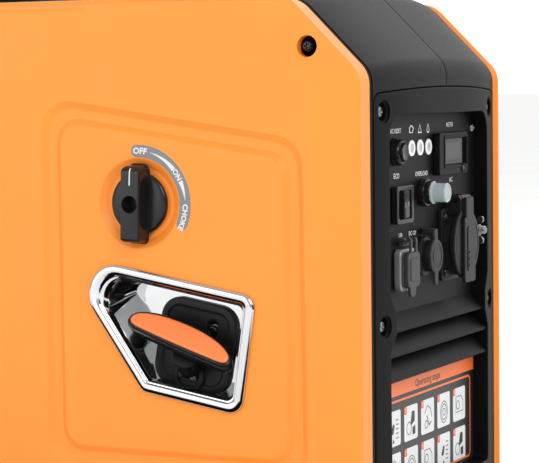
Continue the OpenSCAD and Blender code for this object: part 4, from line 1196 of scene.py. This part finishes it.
# Reset and overload buttons. The reset is a plain push button in a domed glossy ring; the
# thermal breaker stands in a knurled nut under a clear soft boot.
bm = bmesh.new()
at = face(-59, 35.3, 0)
lathe(bm, [(6.35, 0.2), (9.3, 0.2), (9.3, 1.4), (8.9, 2.2), (8.7, 3.4), (8.5, 5.0), (7.9, 6.1), (7.1, 6.6),
           (6.6, 6.4),
           (6.35, 5.8), (6.35, 0.2)], (1, 0, 0), at, 44)
at = face(-11.3, 6.5, 0)
knurl = []
for h, r, deep in ((0.1, 9.1, 0.0), (0.5, 9.5, 0.3), (4.0, 9.5, 0.3), (4.5, 9.0, 0.0), (4.7, 8.0, 0),
                   (7.4, 8.0, 0),
                   (8.0, 7.6, 0), (8.0, 6.8, 0)):
    knurl.append([at + Vector((h, (r - deep * (i % 2)) * math.cos(i * math.pi / 36),
                               (r - deep * (i % 2)) * math.sin(i * math.pi / 36))) for i in range(72)])
made = stack(bm, knurl)
bm.faces.new(made[0])
bm.faces.new(made[-1])
finish_piece("breaker_ring_set", bm, [black_abs], replaces=["breaker_rings"], angle=40)
bm = bmesh.new()
lathe(bm, [(0, -2), (6, -2), (6, 5.2), (5.7, 7.4), (5.2, 8.0), (4.6, 8.0), (3.8, 7.7), (0, 7.5)], (1, 0, 0),
      face(-59, 35.3, 0), 40)
finish_piece("reset_push_button", bm, [black_abs], "reset_button", ["reset_button"])
# White nylon: slightly blue, with a soft waxy polish.
breaker_white = moulded("white_nylon_button", "d8dde0", grain=0.4, bump=0.003, rough=0.3, drift=0.02)
bm = bmesh.new()
lathe(bm, [(0, -2), (4, -2), (4, 13.4), (3.5, 14), (0, 14)], (1, 0, 0), face(-11.3, 6.5, 0), 32)
finish_piece("breaker_push_button", bm, [breaker_white], "breaker_button", ["breaker_button"])
# Silicone: clear and soft, so it blurs the button inside and shines at its rim.
clear_boot = moulded("clear_silicone_boot", "cfdadd", grain=0.6, bump=0.003, rough=0.2, drift=0.03,
                     settings={"Transmission Weight": 0.45, "Subsurface Weight": 0.15, "IOR": 1.41})
bm = bmesh.new()
lathe(bm, [(5.4, 8.2), (7.6, 8.2), (7.7, 9.0), (7.0, 9.6), (6.5, 10.4), (6.4, 16.6), (6.6, 17.6), (6.5, 18.5),
           (6.0, 19.0), (5.2, 18.8), (4.6, 18.3), (0, 18.1)], (1, 0, 0), face(-11.3, 6.5, 0), 40)
lathe(bm, [(5.4, 8.2), (5.4, 17.2), (0, 17.2)], (1, 0, 0), face(-11.3, 6.5, 0), 40)
finish_piece("breaker_boot_silicone", bm, [clear_boot], replaces=["breaker_boot"])

# Meter. A snap-in black case with a sunk display under a smoked window and a small button
# that steps through its readings.
meter_place = panel_place(36.4, 31.4)
bm = bmesh.new()
framed(bm, oblong(54, 29), 2, [(-16.4, -7.9), (24.1, -7.9), (24.1, 10.6), (-16.4, 10.6)], 1.2, meter_place,
       0.0, 5.0,
       2.2, 0.7)
for y0, y1, z0, z1 in ((-18.4, 26.1, -9.9, -8.7), (-18.4, 26.1, 11.4, 12.6), (-18.4, -17.2, -8.7, 11.4),
                       (24.9, 26.1, -8.7, 11.4)):
    plate(bm, [(y0, z0), (y1, z0), (y1, z1), (y0, z1)], 0.3, meter_place, 4.6, 5.5, 0.3, 3)
lathe(bm, [(3.4, 4.8), (3.4, 5.4), (2.9, 5.7), (2.3, 5.4), (2.2, 3.4), (0, 3.4)], (1, 0, 0),
      face(53.8, 20.6, 0), 28)
finish_piece("meter_case", bm, [panel_abs], replaces=["meter_housing"])
# Smoked acrylic: a polished dark window that reflects the light in one clean band.
smoked = moulded("smoked_acrylic_window", "0e0f10", grain=0.5, bump=0.001, rough=0.12, drift=0.03,
                 settings={"Specular IOR Level": 0.3})
lcd = moulded("lcd_film_unlit", "0c0e0d", grain=0.4, bump=0.001, rough=0.25, drift=0.04)
bm = bmesh.new()
plate(bm, [(-16, -7.5), (23.7, -7.5), (23.7, 10.2), (-16, 10.2)], 1.0, meter_place, 2.3, 3.4, 0.15, 3)
plate(bm, [(-12, -4.5), (18, -4.5), (18, 7.2), (-12, 7.2)], 0.6, meter_place, 3.36, 3.5, 0.04, 3, 1)
finish_piece("meter_window_smoked", bm, [smoked, lcd], replaces=["meter_window"])
bm = bmesh.new()
lathe(bm, [(0, 2), (1.95, 2), (1.95, 5.2), (1.6, 5.6), (0, 5.65)], (1, 0, 0), face(53.8, 20.6, 0), 24)
finish_piece("meter_push_button", bm, [black_abs], "meter_button", ["meter_button"])

# Economy switch. A two-faced nylon rocker in a snap-in frame.
eco_place = panel_place(-51, 0.5)
bm = bmesh.new()
framed(bm, oblong(29, 25), 2.2, oblong(21, 19), 0.8, eco_place, 0.0, 4.5, -13, 0.6)
finish_piece("economy_switch_frame", bm, [black_abs], replaces=["eco_switch_frame"])
bm = bmesh.new()
turn = math.radians(11)
profile = rounded([(-5, -6), (5.5, -9), (4.3, 0), (5.5, 9), (-5, 6)], [0.3, 0.7, 1.5, 0.7, 0.3], 4)
layers = []
for z, shrink in ((-9.0, 0.94), (-8.6, 0.985), (-8.1, 1.0), (8.1, 1.0), (8.6, 0.985), (9.0, 0.94)):
    layers.append([eco_place(p.x * math.sin(turn) * shrink + p.y * math.cos(turn) * shrink, z,
                             p.x * math.cos(turn) * shrink - p.y * math.sin(turn) * shrink) for p in profile])
made = stack(bm, layers)
bm.faces.new(made[0])
bm.faces.new(made[-1])
for half in (-1, 1):
    lettering(bm, "I" if half > 0 else "O", 4.2,
              lambda u, v, s=half: eco_place((5.1 + 0.1) * math.sin(turn) + (s * 5.2 + u) * math.cos(turn), v,
                                             5.12 * math.cos(turn) - (s * 5.2 + u) * math.sin(turn)
                                             + 0.27 * (abs(s * 5.2 + u) - 5.2) * 0.5 + 0.12), 0.06, 1)
finish_piece("economy_rocker", bm, [black_abs, pad_ink], "eco_rocker", ["eco_rocker"],
             outward=False)

# Mains outlet. A nylon socket on a square flange held by four screws, under a round lid on
# a strap that swings up on a steel pin between two lugs.
ac_place = panel_place(41.7, -31.5)
AC = ac_place(0, 0, 0)
bm = bmesh.new()
plate(bm, oblong(50, 50), 3.5, ac_place, 0.0, 3.4, 0.7)
lathe(bm, [(22.9, 3.0), (22.5, 3.6), (22.5, 7.8), (22.0, 8.4), (20.0, 8.4), (19.5, 7.9), (19.5, -9), (0, -9)],
      (1, 0, 0), AC, 56)
for y in (-11.0, 7.8):
    arm = rounded([(-0.5, 20), (11.9, 20), (11.9, 33.8), (-0.5, 33.8)], [0.3, 3.3, 3.3, 3], 5)
    made = stack(bm, [[Vector((AC.x + p.x, AC.y + y + w, AC.z + p.y)) for p in (arm if 0 < k < 3 else
                       [Vector((5.7 + (q.x - 5.7) * 0.95, 27 + (q.y - 27) * 0.96)) for q in arm])]
                      for k, w in enumerate((0, 0.3, 2.9, 3.2))])
    bm.faces.new(made[0])
    bm.faces.new(made[-1])
for y in (-19, 19):
    for z in (-19, 19):
        screw(bm, lambda u, v, h, y=y, z=z: ac_place(y + u, z + v, 3.3 + h), 2.9, 1.8, 1)
lathe(bm, [(0, -11.9), (1.5, -11.9), (1.5, 11.4), (0, 11.4)], (0, 1, 0), ac_place(0, 30.4, 8.5), 20, 1)
finish_piece("mains_outlet", bm, [black_nylon, black_zinc], replaces=["ac_socket"],
             weld=False)
bm = bmesh.new()
lathe(bm, [(0, 8.8), (23.9, 8.8), (24.5, 9.3), (24.5, 11.7), (23.7, 12.4), (21.6, 12.5), (21.0, 12.1),
           (20.2, 12.1),
           (19.6, 12.5), (0, 12.7)], (1, 0, 0), AC, 64)
strap_lip = [(-10.4, -27), (10.4, -27), (10.4, 18.2), (7.2, 18.4), (7.2, 32.2), (-7.2, 32.2), (-7.2, 18.4),
             (-10.4, 18.2)]
plate(bm, strap_lip, [3, 3, 1, 0.5, 1.5, 1.5, 0.5, 1], ac_place, 12.3, 14.9, 0.7)
plate(bm, [(-5.8, -19), (5.8, -19), (5.8, 12), (-5.8, 12)], 2.0, ac_place, 14.7, 15.5, 0.35)
for z in (-15, -10.5, -6):
    plate(bm, [(-4.4, z - 0.8), (4.4, z - 0.8), (4.4, z + 0.8), (-4.4, z + 0.8)], 0.7, ac_place, 15.3, 16.0,
          0.3, 3)
lathe(bm, [(1.56, -7.2), (3.5, -7.2), (3.7, -6.9), (3.7, 6.9), (3.5, 7.2), (1.56, 7.2)], (0, 1, 0),
      ac_place(0, 30.4, 8.5), 28)
plate(bm, [(-7.1, 19), (7.1, 19), (7.1, 30), (-7.1, 30)], 0.5, ac_place, 9.2, 12.6, 0.3, 3)
finish_piece("mains_outlet_lid", bm, [black_nylon], "ac_lid", ["ac_lid"], weld=False)

# Low-voltage and USB outlets, each with a soft flap on a moulded tether.
# Soft thermoplastic elastomer: matt, with a slight bloom; the grey flap is the paler of the two.
flap_rubber = moulded("soft_tpe_flap", "1c1c1e", grain=0.4, bump=0.02, rough=0.55, drift=0.06)
grey_flap = moulded("grey_tpe_flap", "2e2e31", grain=0.4, bump=0.02, rough=0.5, drift=0.06)
dc_place = panel_place(-11.5, -36.5)
DC = dc_place(0, 0, 0)
bm = bmesh.new()
lathe(bm, [(0, 0), (13.1, 0), (13.5, 0.5), (13.5, 2.4), (12.9, 3.0), (11.2, 3.1), (10.8, 3.6), (10.8, 7.4),
           (10.3, 8.0),
           (9.2, 8.0), (8.8, 7.5), (8.8, -20), (0, -20)], (1, 0, 0), DC, 48)
finish_piece("low_voltage_outlet", bm, [black_nylon], replaces=["dc_socket"])
bm = bmesh.new()
lathe(bm, [(0, 8.3), (11.1, 8.3), (11.5, 8.7), (11.5, 10.2), (10.9, 10.9), (8.9, 11.0), (8.4, 10.5),
           (6.9, 10.5),
           (6.3, 11.0), (0, 11.2)], (1, 0, 0), DC, 48)
plate(bm, [(-3, 9), (3, 9), (3.4, 18.6), (-3.4, 18.6)], [0.3, 0.3, 2.4, 2.4], dc_place, 7.6, 10.4, 0.6)
plate(bm, [(-2.8, -19.5), (2.8, -19.5), (3.4, -9), (-3.4, -9)], [2.2, 2.2, 0.3, 0.3], dc_place, 8.7, 10.6,
      0.5)
plate(bm, [(-3, 14.6), (3, 14.6), (3, 18.6), (-3, 18.6)], 0.8, dc_place, 1.2, 9, 0.5)
finish_piece("low_voltage_flap", bm, [flap_rubber], "dc_cap", ["dc_cap"], weld=False)

# Silver paint over ABS: a metallic sheen that is finer and duller than plated metal.
silver_paint = moulded("silver_painted_abs", "a2a3a6", grain=0.25, bump=0.006, rough=0.34, drift=0.05,
                       settings={"Metallic": 0.7})
usb_place = panel_place(-50, -42.5)
bm = bmesh.new()
framed(bm, oblong(26, 28), 4, oblong(19.5, 21.5), 2.6, usb_place, 0.0, 5.4, 1.8, 1.2)
for z in (-5.5, 5.5):
    framed(bm, [(-7.6, z - 3.7), (7.6, z - 3.7), (7.6, z + 3.7), (-7.6, z + 3.7)], 0.8,
           [(-6.7, z - 2.8), (6.7, z - 2.8), (6.7, z + 2.8), (-6.7, z + 2.8)], 0.3, usb_place, 1.6, 5.2, -8,
           0.3)
finish_piece("usb_outlet", bm, [silver_paint], replaces=["usb_socket"], weld=False)
bm = bmesh.new()
plate(bm, oblong(21.5, 23.5), 4.2, usb_place, 6.2, 10.0, 1.1)
plate(bm, oblong(14, 15), 2.6, usb_place, 9.8, 10.5, 0.5)
plate(bm, [(-4.6, -18.2), (4.6, -18.2), (5.4, -10), (-5.4, -10)], [3.8, 3.8, 0.3, 0.3], usb_place, 7.0, 9.2,
      0.7)
for y in (-4.4, 4.4):
    arc = []
    for i in range(13):
        a = math.pi * i / 12
        middle = Vector((9.0 - 6.6 * i / 12 + 2.6 * math.sin(a),
                         10.5 + 10.5 * math.sin(a) ** 0.8 * (1 - 0.25 * i / 12)
                         + (5.2 if i > 9 else 1.7 * i / 12)))
        arc.append(middle)
    band = []
    for i, p in enumerate(arc):
        ahead = (arc[min(i + 1, 12)] - arc[max(i - 1, 0)]).normalized()
        n = Vector((-ahead.y, ahead.x)) * 0.9
        band.append([usb_place(y + w * 1.5, (p + n * k).y, (p + n * k).x)
                     for w, k in ((-1, -0.6), (-0.6, -1), (0.6, -1), (1, -0.6), (1, 0.6), (0.6, 1),
                                  (-0.6, 1), (-1, 0.6))])
    made = stack(bm, band)
    bm.faces.new(made[0])
    bm.faces.new(made[-1])
plate(bm, [(-6, 15.5), (6, 15.5), (6, 18.2), (-6, 18.2)], 1.2, usb_place, 1.0, 4.4, 0.5)
finish_piece("usb_flap", bm, [grey_flap], "usb_cap", ["usb_cap"], weld=False)

# Earth terminal. A zinc-plated stud, a serrated washer and a wing nut.
EARTH = face(81, -25, 0)
bm = bmesh.new()
lathe(bm, [(0, 0.1), (7.2, 0.1), (7.5, 0.4), (7.5, 1.3), (7.1, 1.7), (3.4, 1.7), (2.9, 1.9)]
      + [(2.95 if i % 2 else 2.55, 2.2 + 0.5 * i) for i in range(18)] + [(2.4, 11.4), (2.0, 12.0), (0, 12.0)],
      (1, 0, 0), EARTH, 36)
for y, z in ((82.5, 48), (-84.5, -48)):
    screw(bm, lambda u, v, h, y=y, z=z: face(y + u, z + v, h), 3.2, 2.2)
finish_piece("earth_stud_set", bm, [zinc], replaces=["earth_stud"], weld=False)
bm = bmesh.new()
lathe(bm, [(3.05, 2.1), (4.5, 2.1), (4.8, 2.5), (4.8, 6.2), (4.2, 7.4), (3.4, 7.6), (3.05, 7.3), (3.05, 2.1)],
      (1, 0, 0), EARTH, 32)
for sign in (-1, 1):
    wing = rounded([(3.6, 3.9), (6.6, 4.0), (9.7, 6.6), (10.4, 10.2), (6.0, 10.2), (3.4, 6.6)],
                   [0.5, 0.6, 2, 2, 2, 1], 5)
    made = stack(bm, [[EARTH + Vector((5.2 + (p.y - 5.2) * k, w, sign * (6 + (p.x - 6) * k))) for p in wing]
                      for k, w in ((0.9, -1.15), (1, -0.8), (1, 0.8), (0.9, 1.15))])
    bm.faces.new(made[0])
    bm.faces.new(made[-1])
finish_piece("earth_wing_nut", bm, [zinc], "wing_nut", ["wing_nut"], weld=False)

# ---------------------------------------------------------------------------------------
# Instruction label. A screen-printed polycarbonate sheet under the louvres: an orange title
# strip, a thin orange border and two rows of numbered cards with simple line drawings.
# Screen-printed film: each ink lies flat and dull, in colours that stay clear of each other.
label_black = moulded("screen_printed_black_film", "1a1a1b", grain=0.4, bump=0.002, rough=0.4, drift=0.03)
label_orange = moulded("screen_printed_orange_ink", "f0722f", grain=0.4, bump=0.002, rough=0.42, drift=0.03)
label_card = moulded("screen_printed_pale_ink", "dcdedf", grain=0.4, bump=0.002, rough=0.45, drift=0.02)
label_line = moulded("screen_printed_grey_line", "6a6a6c", grain=0.4, bump=0.002, rough=0.45, drift=0.02)
label_tab = moulded("screen_printed_red_ink", "e8623c", grain=0.4, bump=0.002, rough=0.42, drift=0.02)
label_low, label_high = box_of("instruction_label")
SHEET_X = label_high.x - 0.2


def sheet(y, z, h=0.0):
    return Vector((SHEET_X + h, y, z))


bm = bmesh.new()
plate(bm, [(-88.6, label_low.z - 1), (88.6, label_low.z - 1), (88.6, 119.5), (-88.6, 119.5)], 1.0,
      lambda u, v, h: sheet(u, v, h), -1.2, 0, 0.1, 2)


def patch(bm, corners, radius, h, slot, steps=4):
    bm.faces.new(ring(bm, [sheet(p.x, p.y, h)
                           for p in rounded(corners, radius, steps)])).material_index = slot


def stroke(bm, points, width, h, slot, close=False):
    """A printed line of even width through the points."""
    points = [Vector(p) for p in points]
    last = len(points) - 1
    left, right = [], []
    for i, p in enumerate(points):
        before = points[i - 1] if i or close else p
        after = points[(i + 1) % len(points)] if i < last or close else p
        ahead = ((p - before).normalized() + (after - p).normalized()).normalized()
        side = Vector((-ahead.y, ahead.x)) * width / 2
        left.append(p + side)
        right.append(p - side)
    a = ring(bm, [sheet(p.x, p.y, h) for p in left])
    b = ring(bm, [sheet(p.x, p.y, h) for p in right])
    for i in range(len(points) if close else last):
        j = (i + 1) % len(points)
        bm.faces.new([a[i], a[j], b[j], b[i]]).material_index = slot


patch(bm, [(-88.6, 110), (88.6, 110), (88.6, 119.2), (-88.6, 119.2)], 0.2, 0.05, 1)
lettering(bm, "Operating steps", 7.2, lambda u, v: sheet(u, 114.2 + v, 0.1), 0.1, 4)
stroke(bm, rounded([(-81.4, label_low.z + 3.5), (81.4, label_low.z + 3.5), (81.4, 106.5), (-81.4, 106.5)], 4,
                   6), 1.5, 0.06,
       1, True)


def drawing(bm, kind, y, z):
    """One of a few plain line drawings that explain a step."""
    if kind == 0:
        stroke(bm, [(y - 7, z - 5), (y + 7, z - 5), (y + 7, z + 2), (y + 3, z + 6), (y - 7, z + 6)], 0.8,
               0.12, 3, True)
        stroke(bm, [(y - 3 + p.x, z + p.y) for p in circle(3, 16)], 0.8, 0.12, 3, True)
    elif kind == 1:
        patch(bm, [(y - 2, z - 2), (y + 6, z + 1), (y + 6, z + 8), (y + 1, z + 8)], 1, 0.12, 4)
        stroke(bm, [(y - 4 + p.x, z - 3 + p.y) for p in circle(4.2, 18)], 0.8, 0.12, 3, True)
        patch(bm, [(y + 2, z - 8), (y + 7, z - 8), (y + 7, z - 2), (y + 2, z - 3)], 0.6, 0.12, 4)
    elif kind == 2:
        for r in (7.5, 5.4, 2.4):
            stroke(bm, [(y + 0.9 * p.x, z - 1 + p.y) for p in circle(r, 24)], 0.8, 0.12, 3, True)
    elif kind == 3:
        patch(bm, [(y - 6, z - 3), (y - 1, z - 3), (y + 1, z + 3), (y - 2, z + 4)], 1.0, 0.12, 4)
        patch(bm, [(y - 3, z - 9), (y + 0.5, z - 9), (y - 1, z - 6)], 0.4, 0.12, 4)
        for i in range(5):
            stroke(bm, [(y + 3, z - 6 + 3 * i), (y + 7.5, z - 6 + 3 * i)], 0.9, 0.12, 3)
    else:
        stroke(bm, [(y - 6, z + 3), (y - 1, z + 8), (y + 5, z + 5), (y + 7, z - 1)], 0.9, 0.12, 3)
        stroke(bm, [(y - 2, z + 1), (y + 2, z - 6), (y + 6, z - 4)], 1.2, 0.12, 4)
        stroke(bm, [(y - 3 + p.x, z - 5 + p.y) for p in circle(2.6, 14)], 0.8, 0.12, 3, True)


number = 0
for row in (88.7, 60.2):
    for col in range(5):
        y = -61.1 + 30.2 * col
        number += 1
        patch(bm, [(y - 12, row - 11.8), (y + 12, row - 11.8), (y + 12, row + 11.8), (y - 12, row + 11.8)],
              2.0, 0.05, 2)
        patch(bm, [(y - 12, row + 6.6), (y - 7.4, row + 6.6), (y - 7.4, row + 11.8), (y - 12, row + 11.8)],
              0.8, 0.09, 5)
        lettering(bm, str(number), 3.6, lambda u, v: sheet(y - 9.7 + u, row + 9.2 + v, 0.14), 0.04, 2)
        drawing(bm, (number * 3 + number // 6) % 5, y + 0.5, row - 0.5)
finish_piece("instruction_label_print", bm, [label_black, label_orange, label_card, label_line, label_black,
                                             label_tab],
             replaces=["instruction_label"], weld=False, outward=False)

# ---------------------------------------------------------------------------------------
# Fuel cap. A ribbed black nylon cap on the filler neck, with a small vent lever that is
# turned before the engine runs.
cap_low, cap_high = box_of("fuel_cap")
CAP = Vector(((cap_low.x + cap_high.x) / 2, 0, cap_low.z + 14))
bm = bmesh.new()
ribbed = []
for h, r, deep in ((0.0, 29.5, 0.0), (0.8, 31.0, 0.9), (12.5, 30.6, 0.9), (14.4, 29.6, 0.5),
                   (15.6, 28.0, 0.0),
                   (16.0, 26.0, 0.0), (15.4, 24.8, 0.0), (15.2, 14.0, 0.0), (16.0, 13.0, 0), (16.0, 3.3, 0)):
    ribbed.append([CAP + Vector(((r + (deep if i % 8 < 3 else 0)) * math.cos(i * math.pi / 48),
                                 (r + (deep if i % 8 < 3 else 0)) * math.sin(i * math.pi / 48),
                                 h)) for i in range(96)])
made = stack(bm, ribbed)
neck = stack(bm, [[CAP + Vector((p.x, p.y, h)) for p in circle(r, 96)]
                  for r, h in ((3.2, 15.8), (3.2, 6), (19.5, 0.0),
                                                                                   (19.5, -14), (17, -14))])
bridge(bm, made[-1], neck[0])
bm.faces.new(neck[1])
stack(bm, [[CAP + Vector((p.x, p.y, h)) for p in circle(r, 96)] for r, h in ((19.5, 0.0), (29.5, 0.0))])
bm.faces.new(neck[-1])
finish_piece("fuel_cap_moulding", bm, [black_nylon], "fuel_cap", ["fuel_cap"])
bm = bmesh.new()
lathe(bm, [(0, 7.5), (3.0, 7.5), (3.0, 16.2), (9.4, 16.2), (10, 16.7), (10, 20.6), (9.2, 21.4), (0, 21.6)],
      (0, 0, 1), CAP, 40)
plate(bm, [(2, -4), (22, -3.4), (22, 3.4), (2, 4)], [0.5, 3, 3, 0.5], lambda u, v, h: CAP + Vector((u, v, h)),
      16.5, 20.3, 0.8)
finish_piece("fuel_vent_lever", bm, [black_nylon], "vent_lever", ["vent_lever"], weld=False)

# ---------------------------------------------------------------------------------------
# Engine, exhaust, tank and inverter. These sit inside the case and keep their CAD shapes;
# each gets the finish of its own metal or plastic and softened edges.
# Cast, ground and heated metals and moulded housings: coarse or fine grain as each is made.
cast_aluminium = metal("die_cast_aluminium", "8f9092", 0.5, 1.2, 0.06, drift=0.15)
machined_steel = metal("ground_steel", "9a9b9e", 0.3, 0.4, 0.01)
heat_steel = metal("heat_tinted_sheet_steel", "6e635a", 0.42, 2.5, 0.03, drift=0.25)
black_sheet = moulded("powder_coated_sheet", "26272a", grain=0.8, bump=0.04, rough=0.55, drift=0.08)
winding = metal("enamelled_copper_winding", "8a4a22", 0.35, 0.5, 0.08, metallic=0.8)
pulley_nylon = moulded("glass_filled_nylon", "8b8675", grain=0.8, bump=0.05, rough=0.6, drift=0.1)
white_ceramic = moulded("glazed_ceramic", "e6e4de", grain=0.5, bump=0.004, rough=0.15, drift=0.02)
yellow_abs = moulded("yellow_abs_dipstick", "c98a1c", grain=0.5, bump=0.02, rough=0.4, drift=0.05)
tank_poly = moulded("rotomoulded_polyethylene", "212123", grain=1.5, bump=0.08, rough=0.5, drift=0.08)
for names, paint, soft in ((("crankcase", "engine_cylinder", "flywheel_fan", "carburettor",
                             "inverter_module"),
                            cast_aluminium, 0.8),
                           (("crankshaft", "recoil_spring"), machined_steel, 0.3),
                           (("muffler",), heat_steel, 1.2),
                           (("recoil_housing", "fan_shroud"), black_sheet, 0.6),
                           (("stator",), winding, 0.6), (("recoil_pulley",), pulley_nylon, 0.5),
                           (("spark_plug",), white_ceramic, 0.4), (("oil_dipstick",), yellow_abs, 0.8),
                           (("fuel_tank", "air_filter_box"), tank_poly, 2.0),
                           (("ignition_coil", "fuel_hose"), rubber, 0.6)):
    for name in names:
        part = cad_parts[name]
        for spot in part.material_slots:
            spot.material = paint
        soften = part.modifiers.new("softened_edges", "BEVEL")
        soften.width = soft * MM
        soften.segments = 2
        soften.limit_method = "ANGLE"
        soften.angle_limit = math.radians(40)


low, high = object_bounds()
